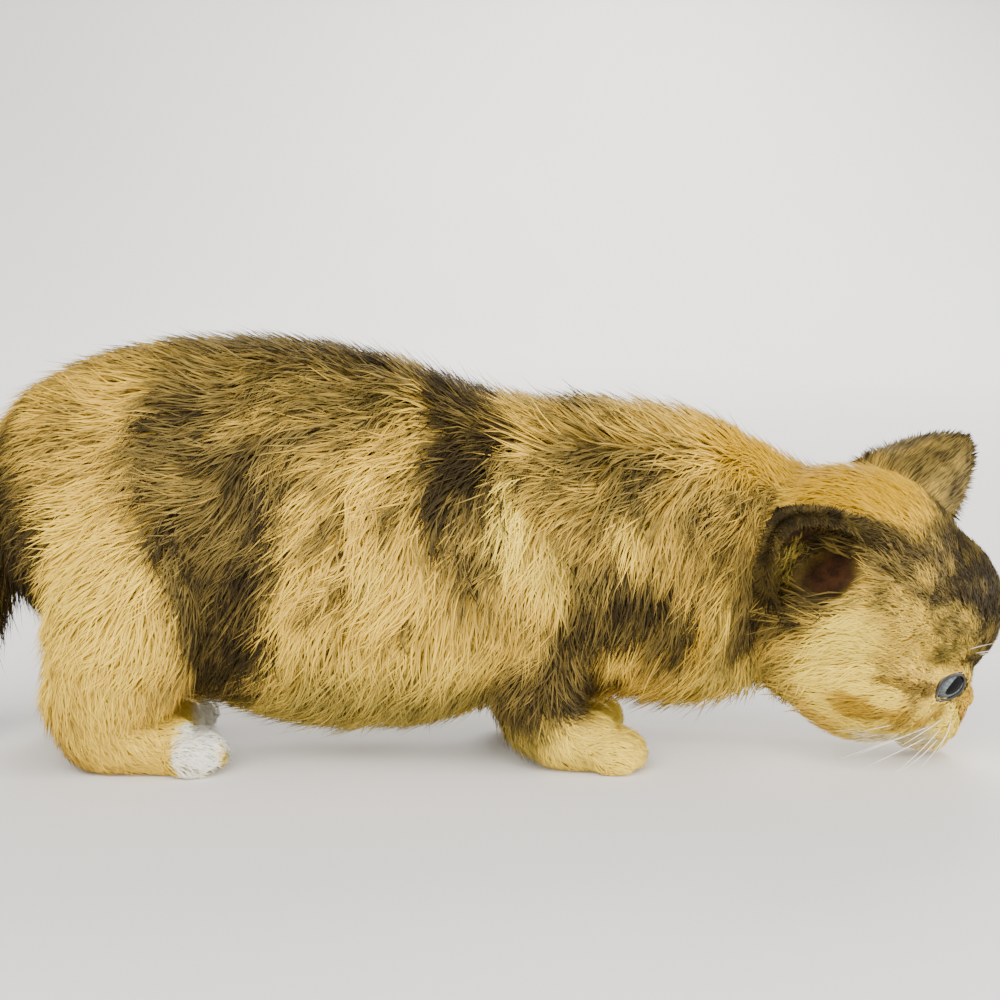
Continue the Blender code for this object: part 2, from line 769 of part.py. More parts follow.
def main():
    clear_scene()
    model = new_collection("munchkin_kitten")
    helpers = new_collection("helpers")
    locks = new_collection("locks")
    whole = whole_body(COAT, helpers)
    wholes = []
    for faces in (TRUNK_FACES, LEG_FACES, HEAD_FACES):
        body = decimated(whole, "body", faces, helpers)
        coat(body, locks)
        fuse(body, locks)
        boolean(body, box_cutter((-300, -200, -50), (300, 200, 0), helpers), "DIFFERENCE")
        wholes.append(body)
    nodes = part_body(*wholes, model, helpers)
    for obj in (whole, *wholes):
        remove_object(obj)
    for name in EARS:
        nodes[name] = ear_solid(name, model)
        boolean(nodes[name], swollen(nodes["head"], GAP, helpers), "DIFFERENCE")
        boolean(nodes[name], swollen(nodes["neck"], GAP, helpers), "DIFFERENCE")
    finish_head(nodes, model, helpers)
    for name, node in nodes.items():
        keep_largest(node)
        give_material(name, node)
        node.name = name
    centre_on_origin(nodes.values())


main()
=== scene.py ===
# %% [markdown]
# # A munchkin kitten in its long coat
# This lesson dresses a kitten of about seven weeks: a long body on four short legs, a low heavy
# head and a soft mottled coat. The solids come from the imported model, which stays a fixed frame.
# Everything is drawn in millimetres, X from tail to nose, Y to the kitten's left and Z up, and
# is carried into the frame at the moment a mesh is made.

# %% The frame
import math

import bpy
import numpy as np
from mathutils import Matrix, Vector


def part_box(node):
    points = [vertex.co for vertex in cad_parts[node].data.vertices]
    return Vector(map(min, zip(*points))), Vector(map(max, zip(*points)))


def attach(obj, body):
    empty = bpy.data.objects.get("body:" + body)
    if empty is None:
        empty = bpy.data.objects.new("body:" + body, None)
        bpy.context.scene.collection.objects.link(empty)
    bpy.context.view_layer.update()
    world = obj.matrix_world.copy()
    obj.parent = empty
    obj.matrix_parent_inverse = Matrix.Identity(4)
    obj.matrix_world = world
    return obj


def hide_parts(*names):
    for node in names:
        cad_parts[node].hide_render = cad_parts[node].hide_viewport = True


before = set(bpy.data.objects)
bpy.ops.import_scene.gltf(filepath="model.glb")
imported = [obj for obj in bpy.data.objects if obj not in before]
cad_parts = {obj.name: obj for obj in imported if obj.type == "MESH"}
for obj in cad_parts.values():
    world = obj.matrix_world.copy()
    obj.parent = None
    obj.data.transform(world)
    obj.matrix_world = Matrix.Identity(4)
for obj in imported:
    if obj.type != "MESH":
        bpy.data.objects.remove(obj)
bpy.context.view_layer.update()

HEAD_PLACE = np.array((95, -10.7, 40.3))
HEAD_PITCH, HEAD_ROLL = math.radians(32), math.radians(18)
EYES = {"right": np.array((21.8, -11.4, -1.0)), "left": np.array((21.8, 11.4, -1.0))}
EYE_RADIUS = 7.0


def head_turn():
    """Forward, left and up of the head as the rows of a matrix: a roll about X, then a pitch about Y."""
    cp, sp = math.cos(HEAD_PITCH), math.sin(HEAD_PITCH)
    cr, sr = math.cos(HEAD_ROLL), math.sin(HEAD_ROLL)
    pitch = np.array(((cp, 0, sp), (0, 1, 0), (-sp, 0, cp)))
    roll = np.array(((1, 0, 0), (0, cr, -sr), (0, sr, cr)))
    return (pitch @ roll).T


HEAD_AXES = head_turn()


def from_head(points):
    """Points of the head's own frame carried into the kitten's drawing."""
    return np.asarray(points, float) @ HEAD_AXES + HEAD_PLACE


def to_head(points):
    """Points of the drawing told as forward, left and up from the middle of the skull."""
    return (points - HEAD_PLACE) @ HEAD_AXES.T


eye_low, eye_high = (np.array(corner) * 1000 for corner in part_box("eye_right"))
SHIFT = (eye_low + eye_high) / 2 - from_head(EYES["right"])
print("drawing to frame, mm:", SHIFT.round(2))

# %% [markdown]
# ## Surfaces from arrays
# A form is a grid of points, worked out all at once from two parameters. Three helpers turn
# grids into meshes: one fills a table of stations in smoothly, one closes a grid into a shell
# whose faces point outwards, and one hands whole arrays to Blender, which is far quicker than
# adding points one by one.

# %% Helpers for meshes


def smooth_rows(table, count):
    """Count rows along a table of stations, on a curve through each station: a Catmull-Rom spline."""
    rows = np.asarray(table, float)
    place = np.linspace(0, len(rows) - 1, count)
    first = np.minimum(place.astype(int), len(rows) - 2)
    t = (place - first)[:, None]
    before = rows[np.maximum(first - 1, 0)]
    a, b = rows[first], rows[first + 1]
    after = rows[np.minimum(first + 2, len(rows) - 1)]
    bend = 2 * before - 5 * a + 4 * b - after
    twist = 3 * (a - b) + after - before
    return 0.5 * (2 * a + (b - before) * t + bend * t**2 + twist * t**3)


def outward(points, quads, triangles):
    """The same closed form with its faces turned to point outwards, told by the sign of its volume."""
    fans = np.concatenate([triangles, quads[:, [0, 1, 2]], quads[:, [0, 2, 3]]])
    a, b, c = (points[fans[:, k]] - points.mean(0) for k in range(3))
    if (a * np.cross(b, c)).sum() < 0:
        quads, triangles = quads[:, ::-1], triangles[:, ::-1]
    return points, quads, triangles


def shell(grid):
    """Points and faces of a closed form: rings of points, each joined to the next, and a fan on each end."""
    rows, columns = grid.shape[:2]
    index = np.arange(rows * columns).reshape(rows, columns)
    ahead = np.roll(index, -1, axis=1)
    quads = np.stack([index[:-1], ahead[:-1], ahead[1:], index[1:]], -1).reshape(-1, 4)
    ends = rows * columns + np.arange(2)
    start = np.stack([ahead[0], index[0], np.full(columns, ends[0])], -1)
    stop = np.stack([index[-1], ahead[-1], np.full(columns, ends[1])], -1)
    points = np.concatenate([grid.reshape(-1, 3), grid[[0, -1]].mean(1)])
    return outward(points, quads, np.concatenate([start, stop]))


def joined(parts):
    """Several (points, quads, triangles) as one."""
    sizes = np.cumsum([0] + [len(part[0]) for part in parts])
    points = np.concatenate([part[0] for part in parts])
    quads = np.concatenate([part[1] + base for part, base in zip(parts, sizes)])
    triangles = np.concatenate([part[2] + base for part, base in zip(parts, sizes)])
    return points, quads, triangles


def make_object(name, points, quads, triangles, material=None, smooth=True):
    """A mesh object in the frame, in metres, from points in the drawing and arrays of corners."""
    mesh = bpy.data.meshes.new(name)
    mesh.vertices.add(len(points))
    mesh.vertices.foreach_set("co", ((points + SHIFT) / 1000).astype(np.float32).ravel())
    corners = np.concatenate([quads.ravel(), triangles.ravel()])
    sizes = np.repeat((4, 3), (len(quads), len(triangles)))
    mesh.loops.add(len(corners))
    mesh.loops.foreach_set("vertex_index", corners.astype(np.int32))
    mesh.polygons.add(len(sizes))
    mesh.polygons.foreach_set("loop_start", (np.cumsum(sizes) - sizes).astype(np.int32))
    mesh.polygons.foreach_set("use_smooth", np.full(len(sizes), smooth))
    mesh.update(calc_edges=True)
    mesh.validate()
    obj = bpy.data.objects.new(name, mesh)
    bpy.context.scene.collection.objects.link(obj)
    if material is not None:
        mesh.materials.append(material)
    return obj


def points_of(mesh):
    """The mesh's points, back in the drawing."""
    found = np.empty(len(mesh.vertices) * 3, np.float32)
    mesh.vertices.foreach_get("co", found)
    return found.reshape(-1, 3).astype(float) * 1000 - SHIFT


def set_attribute(mesh, name, values):
    """A vector or a number kept at each point of a mesh, for its material to read."""
    kind, key = ("FLOAT_VECTOR", "vector") if values.ndim == 2 else ("FLOAT", "value")
    layer = mesh.attributes.new(name, kind, "POINT")
    layer.data.foreach_set(key, values.astype(np.float32).ravel())


def unit(vectors):
    """Each vector at length one."""
    return vectors / np.maximum(np.linalg.norm(vectors, axis=-1, keepdims=True), 1e-9)


# %% [markdown]
# ## The body under the coat
# A coat this deep hides most of the body, so the skin lies inside the outline by the depth of
# the coat. The trunk is a row of egg-shaped rings along the back, each leg is a row of round
# rings with four toes, and the head is a cluster of egg shapes for the skull, cheeks and
# muzzle. The body repeats the sizes that the solids were made from.

# %% Sizes of the body
COAT = 6.0
FACE_COAT = 1.5
TRUNK = (
    (-124, 84, 56, 10),
    (-119, 95, 43, 23),
    (-108, 101, 30, 31),
    (-92, 106.5, 21, 35),
    (-72, 109, 13.5, 37),
    (-48, 107.5, 8, 38.5),
    (-26, 102.5, 7, 38.5),
    (-6, 94.5, 9, 36.5),
    (14, 91, 12.5, 34.5),
    (34, 91, 16, 33),
    (52, 88.5, 17, 31),
    (66, 83, 18.5, 28.5),
    (80, 77, 22, 26),
    (92, 71, 28, 22),
    (104, 60, 36, 14),
)
WIDEST_LEVEL = 0.42
TAIL = (
    (-108, 0, 80, 9),
    (-120, 0, 77, 12.5),
    (-129, 1, 69, 13.5),
    (-135.5, 2, 57, 13.5),
    (-140.5, 3, 44, 12.5),
    (-145, 3, 31, 11),
    (-148.5, 3, 19, 8.5),
    (-151.5, 3, 10, 4.5),
)
HIND_LEG = (
    (-82, -12, 60, 20),
    (-90, -19.5, 45, 22),
    (-96, -22.5, 30, 17),
    (-101.5, -23.5, 18, 11.5),
    (-101, -23.5, 9.5, 9),
    (-91, -23.5, 6.5, 8),
    (-80, -23.5, 5.5, 7.5),
)
FRONT_LEG = (
    (16, -11, 46, 18),
    (10, -17.5, 31, 15),
    (9, -20, 19, 10.5),
    (14, -20.5, 10, 8.5),
    (22, -20.5, 6.5, 7.6),
    (27, -20.5, 6, 7.4),
)
TOE_RADII = (6.2, 3.3, 5.4)
TOE_SPREAD = (-7.6, -2.7, 2.7, 7.6)
TOE_LEAD = (-2.2, 0.6, 0.6, -2.2)
HIND_TOES = (-76, -23.5, 4.6)
FRONT_TOES = (30.5, -20.5, 4.5)
PAW_COAT = 0.8
FAR_HIND_BACK, FAR_FRONT_BACK = -8, -4
LEGS = {
    "hind_right": (HIND_LEG, HIND_TOES, 1, 0),
    "hind_left": (HIND_LEG, HIND_TOES, -1, FAR_HIND_BACK),
    "front_right": (FRONT_LEG, FRONT_TOES, 1, 0),
    "front_left": (FRONT_LEG, FRONT_TOES, -1, FAR_FRONT_BACK),
}
HEAD_FORMS = (
    ((-6, 0, 3), (30, 29, 29)),
    ((10, 0, 8.5), (21.5, 22.5, 20)),
    ((5, 14.5, -10), (22, 15, 18)),
    ((20, 11.5, -3), (10, 9, 12)),
    ((20.5, 0, -5), (12.5, 10, 10.5)),
    ((27.5, 5.2, -14.5), (9.8, 8.5, 8)),
    ((32.0, 0, -9.2), (6.0, 5.9, 5.4)),
    ((28.8, 0, -20.8), (9.8, 9.2, 7.6)),
    ((12, 0, -17), (20, 17, 13)),
)
EARS = {
    "right": ((-20.5, -21.8, 10), (-0.74, -0.48, 0.46), (0.41, -0.89, 0.05), 25, 13.4),
    "left": ((-6.5, 18.5, 21.5), (0.30, 0.6, 0.72), (0.41, 0.83, -0.37), 24, 12),
}

# %% Forms of the body


def trunk_form(drop, rows=96, columns=56):
    """At x and an angle: half the width times its cosine sideways, and the reach up or down times its sine."""
    x, top, bottom, half = smooth_rows(TRUNK, rows).T[:, :, None]
    middle = bottom + WIDEST_LEVEL * (top - bottom)
    inset = np.minimum(drop, 0.45 * half)
    turn = np.linspace(0, math.tau, columns, endpoint=False)
    reach = np.where(np.sin(turn) > 0, top - middle, middle - bottom) - inset
    return shell(np.stack([x + 0 * turn, (half - inset) * np.cos(turn), middle + reach * np.sin(turn)], -1))


def limb_form(stations, drop, rows=48, columns=28):
    """Round rings square to the line through the stations, drop mm inside them."""
    table = np.array(stations, float)
    table[:, 3] = np.maximum(table[:, 3] - drop, 0.45 * table[:, 3])
    line = smooth_rows(table, rows)
    ahead = unit(np.gradient(line[:, :3], axis=0))
    out = unit(np.cross((0, 1, 0), ahead))
    across = np.cross(ahead, out)
    turn = np.linspace(0, math.tau, columns, endpoint=False)[None, :, None]
    round_it = across[:, None] * np.cos(turn) + out[:, None] * np.sin(turn)
    return shell(line[:, None, :3] + line[:, None, 3:] * round_it)


def egg_form(centre, radii, in_head=False, rows=24, columns=36):
    """A ball drawn out along its three axes: radii times the cosine and sines of two angles."""
    down = np.linspace(0.03, math.pi - 0.03, rows)[:, None]
    turn = np.linspace(0, math.tau, columns, endpoint=False)[None]
    ball = np.stack([np.cos(down) + 0 * turn, np.sin(down) * np.cos(turn), np.sin(down) * np.sin(turn)], -1)
    points = ball * radii + centre
    return shell(from_head(points) if in_head else points)


def leg_forms(stations, toes, side, back):
    """A leg with its toes: side is 1 on the right and -1 on the left."""
    moved = [(x + back, y * side, z, r) for x, y, z, r in stations]
    drop = COAT * np.maximum(0.13, 1 - np.arange(len(moved)) / 3)
    table = np.array(moved, float)
    table[:, 3] -= drop
    made = [limb_form(table, 0.0)]
    for spread, lead in zip(TOE_SPREAD, TOE_LEAD):
        place = (toes[0] + back + lead, (toes[1] + spread) * side, toes[2])
        made.append(egg_form(place, np.array(TOE_RADII) - PAW_COAT, rows=14, columns=18))
    return made


def head_forms():
    """The head's eggs, those beside the middle on both sides, and a ball for the lids over each eye."""
    made = []
    for (f, l, u), radii in HEAD_FORMS:
        inset = 0.8 if f > 24 else FACE_COAT
        for side in (1, -1) if l else (1,):
            made.append(egg_form((f, l * side, u), np.array(radii) - inset, in_head=True))
    made += [egg_form(place, (EYE_RADIUS + 0.75,) * 3, in_head=True) for place in EYES.values()]
    return made


forms = [trunk_form(COAT), limb_form(TAIL, COAT)]
for leg in LEGS.values():
    forms += leg_forms(*leg)
forms += head_forms()
print("forms under the skin:", len(forms))

# %% [markdown]
# ## One seamless skin
# The forms overlap, and a voxel remesh wraps them in one closed skin. Smoothing then melts the
# joins the way loose skin does. Sculpting brushes could do what follows, but a few formulas
# over all the points at once do the same for the lids and the mouth, and can be run again.

# %% The skin
SKIN_GRAIN = 1.1
SKIN_SHARE = 0.62
skin = make_object("skin", *joined(forms))
wrap = skin.modifiers.new("wrap", "REMESH")
wrap.mode = "VOXEL"
wrap.voxel_size = SKIN_GRAIN / 1000
melt = skin.modifiers.new("melt", "SMOOTH")
melt.factor = 0.5
melt.iterations = 8
fewer = skin.modifiers.new("fewer", "DECIMATE")
fewer.ratio = SKIN_SHARE


def settle(obj):
    """Puts what the modifiers make in the place of the object's own mesh."""
    graph = bpy.context.evaluated_depsgraph_get()
    made = bpy.data.meshes.new_from_object(obj.evaluated_get(graph))
    obj.modifiers.clear()
    obj.data = made


settle(skin)
print("skin triangles:", sum(len(face.vertices) - 2 for face in skin.data.polygons))

# %% [markdown]
# ## Lids, mouth and ear hollows
# Each eyeball sits deep, under a thin ball of lid. The opening between the lids is an almond:
# points of the skin inside it sink behind the eyeball, so the rim is left standing. The line
# of the mouth is a groove pressed along a row of places, a stem below the nose and two branches.
# In front of each ear's root a shallow bowl leads into the ear, and the paws press flat.

# %% Pressing the lids, the mouth and the hollows into the skin
EYE_TURN = math.radians(56)
EYE_SLANT = math.radians(-18)
EYE_LIFT = math.radians(14)
LID_OPENING = (4.3, 4.7)
MOUTH = ((36.9, 0, -14.4), (36.0, 0, -16.9), (35.4, 4, -18.4), (29, 10.4, -19.0), (22, 13.4, -17.0), (17, 15, -14.5))
HOLLOW_PLACE = (2.5, -3.0)
HOLLOW_RADIUS = 10.6
HOLLOW_DEPTH = 9.0


def gaze_axes(side, lift=0.0):
    """Rows: out of the eye, across it and up, in the drawing. side is -1 on the right."""
    c, s = math.cos(EYE_TURN), math.sin(EYE_TURN) * side
    turn = np.array(((c, -s, 0), (s, c, 0), (0, 0, 1)))
    a, b = math.cos(EYE_SLANT), -math.sin(EYE_SLANT) * side
    slant = np.array(((1, 0, 0), (0, a, -b), (0, b, a)))
    c, s = math.cos(lift), math.sin(lift)
    raised = np.array(((c, 0, s), (0, 1, 0), (-s, 0, c)))
    return raised @ (turn @ slant).T @ HEAD_AXES


def almond(across, up):
    """Below one inside the opening: how far across and up a point is, as shares of the half sizes."""
    share = np.clip(across / LID_OPENING[0], -1, 1)
    return (across / LID_OPENING[0]) ** 2 + (up / (LID_OPENING[1] * (1 - 0.16 * share**2))) ** 2


def in_opening(points, grow=1.0):
    """True in front of the opening of either eye, made grow times as large."""
    found = np.zeros(len(points), bool)
    for side, place in EYES.items():
        local = (points - from_head(place)) @ gaze_axes(-1 if side == "right" else 1).T
        inside = almond(local[:, 1] / grow, local[:, 2] / grow) < 1
        found |= inside & (local[:, 0] > 0) & (np.abs(local).max(1) < 12)
    return found


def line_of(places, count):
    """Points along a line through places of the head, in the drawing."""
    return from_head(smooth_rows(places, count))


def distance_to(points, line):
    """From each point to the nearest point of a line."""
    return np.linalg.norm(points[:, None] - line[None], axis=-1).min(1)


def hollow_share(points, side):
    """One in the middle of the bowl before an ear, zero outside: (1 - distance squared) squared."""
    root, tip_way, open_way = (np.array(row, float) for row in EARS[side][:3])
    middle = from_head(root + unit(open_way) * HOLLOW_PLACE[0] - unit(tip_way) * HOLLOW_PLACE[1])
    reach = np.linalg.norm(points - middle, axis=1) / HOLLOW_RADIUS
    return np.clip(1 - reach**2, 0, 1) ** 2


def sculpt(points):
    """Sinks the skin behind each eyeball and in each ear's hollow, presses in the mouth and flattens the soles."""
    points = points.copy()
    for side, place in EYES.items():
        centre = from_head(place)
        axes = gaze_axes(-1 if side == "right" else 1)
        local = (points - centre) @ axes.T
        inside = (local[:, 0] > 0) & (almond(local[:, 1], local[:, 2]) < 1) & (np.abs(local).max(1) < 12)
        radius = np.linalg.norm(local, axis=1, keepdims=True)
        sunk = local / radius * np.minimum(radius, EYE_RADIUS - 1.2)
        points[inside] = (sunk @ axes + centre)[inside]
    muzzle = from_head((14, 0, -12))
    for side in (1, -1):
        line = line_of(np.array(MOUTH) * (1, side, 1), 60)
        near = np.linalg.norm(points - line.mean(0), axis=1) < 30
        depth = 0.9 * np.exp(-((distance_to(points[near], line) / 0.8) ** 2))
        points[near] += unit(muzzle - points[near]) * depth[:, None]
    for side, (_, _, open_way, *_) in EARS.items():
        inward = -unit(np.array(open_way, float)) @ HEAD_AXES
        points += HOLLOW_DEPTH * hollow_share(points, side)[:, None] * inward
    points[:, 2] = np.maximum(points[:, 2], 0.0)
    return points


skin_points = sculpt(points_of(skin.data))
skin.data.vertices.foreach_set("co", ((skin_points + SHIFT) / 1000).astype(np.float32).ravel())
skin.data.update()

# %% [markdown]
# ## Ears
# A kitten's ear is a leaf rolled into a cup. Across it runs an arc, along it the arc grows
# narrow and flat up to a round tip. The right ear is laid back and opens to the side, the left
# one stands. Each is two such leaves, back and inside, closed along the rim.

# %% Ear surfaces
EAR_WRAP = (1.45, 0.5)
EAR_THICK = 1.3
EAR_ROOT = 0.24


def ear_leaf(side, u, v):
    """At u across (-1 to 1) and v up (0 to 1): an arc whose half width is (1 - v) ** 0.66 of the ear's."""
    root, tip_way, open_way, height, half = EARS[side]
    up = unit(np.array(tip_way, float))
    out = np.array(open_way, float)
    out = unit(out - up * (out @ up))
    aside = np.cross(up, out)
    level = np.maximum(v, 0)
    width = half * (1 - level) ** 0.66 * (1 + 0.3 * level) * (1 + 0.25 * np.minimum(v, 0))
    bend = EAR_WRAP[0] + (EAR_WRAP[1] - EAR_WRAP[0]) * level
    across = width * np.sin(bend * u) / np.sin(bend)
    back = width * (np.cos(bend * u) - np.cos(bend)) / np.sin(bend)
    lift = 3.0 * level * level - 0.8 * back
    local = np.array(root) + up * (height * v)[..., None] + aside * across[..., None] + out * lift[..., None]
    return from_head(local)


def ear_normal(side, u, v, step=0.01):
    """The way into the cup: the product of the leaf's two slopes."""
    along_u = ear_leaf(side, u + step, v) - ear_leaf(side, u - step, v)
    along_v = ear_leaf(side, u, v + step) - ear_leaf(side, u, v - step)
    return unit(np.cross(along_u, along_v))


def ear_shell(side, rows=40, columns=41):
    """The inside leaf and the back leaf, half a thickness to each side, run round in one ring."""
    v = (-EAR_ROOT + (0.975 + EAR_ROOT) * np.sin(np.linspace(0, math.pi / 2, rows)))[:, None]
    u = np.linspace(-1, 1, columns)[None]
    u, v = np.broadcast_arrays(u, v)
    middle, normal = ear_leaf(side, u, v), ear_normal(side, u, v)
    edge = np.sqrt(np.clip(1 - np.abs(u) ** 8, 0.04, 1))[..., None]
    inner = middle + normal * (EAR_THICK / 2) * edge
    outer = middle - normal * (EAR_THICK / 2) * edge
    return shell(np.concatenate([inner, outer[:, ::-1]], axis=1))


# %% [markdown]
# ## Asking the skin
# Every hair needs the nearest place on the skin and the way the skin faces there. Asked one
# point at a time that is slow. A small geometry node group answers for a whole cloud at once:
# it stores the nearest position and the normal at each point of a mesh with no faces.

# %% Nearest places on a surface


def asking_group(surface):
    """Nodes that store, at each point, the surface's nearest position and its normal there."""
    group = bpy.data.node_groups.new("nearest_place", "GeometryNodeTree")
    group.interface.new_socket("Geometry", in_out="INPUT", socket_type="NodeSocketGeometry")
    group.interface.new_socket("Geometry", in_out="OUTPUT", socket_type="NodeSocketGeometry")
    nodes, links = group.nodes, group.links
    last = nodes.new("NodeGroupInput").outputs["Geometry"]
    target = nodes.new("GeometryNodeObjectInfo")
    target.inputs["Object"].default_value = surface
    for name, kind in (("near", "GeometryNodeInputPosition"), ("facing", "GeometryNodeInputNormal")):
        sample = nodes.new("GeometryNodeSampleNearestSurface")
        sample.data_type = "FLOAT_VECTOR"
        links.new(target.outputs["Geometry"], sample.inputs["Mesh"])
        links.new(nodes.new(kind).outputs[0], sample.inputs["Value"])
        store = nodes.new("GeometryNodeStoreNamedAttribute")
        store.data_type = "FLOAT_VECTOR"
        store.domain = "POINT"
        store.inputs["Name"].default_value = name
        links.new(last, store.inputs["Geometry"])
        links.new(sample.outputs["Value"], store.inputs["Value"])
        last = store.outputs["Geometry"]
    links.new(last, nodes.new("NodeGroupOutput").inputs["Geometry"])
    return group


def nearest_on(group, points):
    """For each point: the nearest place on the surface, and the way the surface faces there."""
    none = np.empty((0, 4), int), np.empty((0, 3), int)
    cloud = make_object("asking", points, *none)
    cloud.modifiers.new("nearest", "NODES").node_group = group
    seen = cloud.evaluated_get(bpy.context.evaluated_depsgraph_get()).data
    found = []
    for name in ("near", "facing"):
        values = np.empty(len(points) * 3, np.float32)
        seen.attributes[name].data.foreach_get("vector", values)
        found.append(values.reshape(-1, 3).astype(float))
    mesh = cloud.data
    bpy.data.objects.remove(cloud)
    bpy.data.meshes.remove(mesh)
    return found[0] * 1000 - SHIFT, unit(found[1])


asking_skin = asking_group(skin)

# %% [markdown]
# ## Chance that repeats
# Hair needs variety, and the model has to come out the same each time. A value at each cell of
# a lattice, taken from the tail of a large sine, gives chance with no memory. Blended over a
# cell it makes soft mottling, and as a nearest-seed search it gathers hairs into clumps.

# %% Noise


def cell_value(cells, salt=0.0):
    """A number from 0 to 1 for each whole-numbered cell: the fraction of a large sine."""
    return np.modf(np.abs(np.sin(cells @ (12.9898, 78.233, 37.719) + salt) * 43758.5453))[0]


def mottle(points, size, salt=0.0):
    """Soft noise from -1 to 1: the values at the eight corners of each cell, blended smoothly."""
    spot = points / size
    cell = np.floor(spot)
    t = spot - cell
    t = t * t * (3 - 2 * t)
    total = 0
    for corner in np.ndindex(2, 2, 2):
        weight = np.prod(np.where(corner, t, 1 - t), axis=1)
        total = total + weight * cell_value(cell + corner, salt)
    return 2 * total - 1


def mottle_vector(points, size, salt=0.0):
    """Three mottles, one for each axis."""
    return np.stack([mottle(points, size, salt + 7.1 * k) for k in range(3)], -1)


def clump_of(points, size, salt=0.0):
    """The nearest seed to each point, one seed somewhere in each cell, and a number for that seed."""
    cell = np.floor(points / size)
    best = np.full(len(points), 1e9)
    seed = np.zeros_like(points)
    mark = np.zeros(len(points))
    for step in np.ndindex(3, 3, 3):
        other = cell + np.array(step) - 1
        place = np.stack([cell_value(other, salt + k) for k in (1.3, 2.7, 5.9)], -1)
        place = (other + place) * size
        gap = ((place - points) ** 2).sum(1)
        closer = gap < best
        best = np.where(closer, gap, best)
        seed[closer] = place[closer]
        mark[closer] = cell_value(other, salt + 9.4)[closer]
    return seed, mark


# %% [markdown]
# ## Combing
# A groomer sees a coat as strokes: here it runs back, there down and under. Each stroke below
# has a place, the way the hair runs, how long it is, how far its tips stand off the skin and
# how wide a lock is. Every hair takes a mean of the strokes, the near ones counting most.
# Painting a flow by hand on the mesh would also work, but a short table is easier to change.

# %% Strokes of the coat, in mm: place, way, length, rise and width of a lock
SIDE_STROKES = (
    ((-118, 0, 92), (-1, 0, -0.3), 17, 6.5, 0.9),
    ((-104, 0, 101), (-1, 0, 0.1), 17, 7.0, 0.9),
    ((-78, 0, 109), (-1, 0, 0.12), 17, 6.6, 0.9),
    ((-48, 0, 108), (-1, 0, -0.05), 17, 6.6, 0.9),
    ((-22, 0, 102), (-1, 0, 0.0), 17, 6.8, 0.9),
    ((4, 0, 92), (-0.9, 0, 0.3), 19, 7.6, 0.9),
    ((24, 0, 91), (-0.75, 0, 0.6), 21, 9.0, 0.9),
    ((40, 0, 90), (-0.7, 0, 0.5), 21, 9.0, 0.9),
    ((56, 0, 87), (-0.95, 0, 0.2), 18, 7.2, 0.8),
    ((76, 0, 79), (-1, 0, 0.1), 13, 5.5, 0.6),
    ((-112, 24, 70), (-0.9, 0, -0.45), 18, 6.5, 0.9),
    ((-100, 30, 55), (-0.41, 0, -0.7), 18, 6.5, 0.9),
    ((-106, 30, 36), (-0.33, 0, -0.8), 15, 5.5, 0.8),
    ((-86, 36, 50), (-0.36, 0, -0.75), 18, 6.5, 0.9),
    ((-84, 36, 30), (-0.3, 0, -0.85), 15, 5.5, 0.8),
    ((-84, 26, 84), (-0.52, 0, -0.3), 18, 6.5, 0.9),
    ((-64, 30, 66), (-0.44, 0, -0.6), 20, 6.6, 0.9),
    ((-66, 30, 40), (-0.3, 0, -0.8), 20, 6.6, 0.9),
    ((-48, 28, 86), (-0.5, 0, -0.4), 19, 6.6, 0.9),
    ((-34, 38, 62), (-0.39, 0, -0.7), 21, 6.6, 0.95),
    ((-32, 38, 40), (-0.33, 0, -0.8), 22, 6.8, 0.95),
    ((-36, 28, 20), (-0.3, 0, -0.85), 23, 7.2, 0.95),
    ((-40, 8, 8), (-0.9, 0, -0.3), 20, 6.6, 0.9),
    ((-70, 10, 14), (-0.9, 0, -0.3), 18, 6.4, 0.9),
    ((-10, 28, 82), (-0.47, 0, -0.5), 20, 6.8, 0.9),
    ((-6, 36, 56), (-0.36, 0, -0.75), 21, 6.8, 0.95),
    ((-8, 34, 34), (-0.3, 0, -0.85), 21, 6.8, 0.95),
    ((-8, 20, 14), (-0.39, 0, -0.6), 20, 6.8, 0.9),
    ((18, 26, 78), (-0.36, 0, -0.3), 20, 7.4, 0.9),
    ((18, 34, 54), (-0.28, 0, -0.8), 18, 6.6, 0.9),
    ((12, 30, 34), (-0.25, 0, -0.85), 16, 6.0, 0.8),
    ((42, 24, 74), (-0.33, 0, -0.5), 19, 7.6, 0.9),
    ((42, 32, 52), (-0.25, 0, -0.85), 17, 6.6, 0.85),
    ((40, 28, 30), (-0.28, 0, -0.8), 17, 6.6, 0.85),
    ((40, 8, 18), (-0.8, 0, -0.5), 18, 6.6, 0.9),
    ((62, 26, 66), (-0.5, 0, -0.75), 18, 7.6, 0.8),
    ((64, 28, 46), (-0.25, 0, -0.95), 20, 8.5, 0.85),
    ((62, 20, 28), (-0.15, 0, -1), 23, 11, 0.9),
    ((62, 5, 20), (-0.15, 0, -1), 22, 11, 0.9),
    ((80, 22, 62), (-0.9, 0, -0.3), 12, 5.5, 0.6),
)
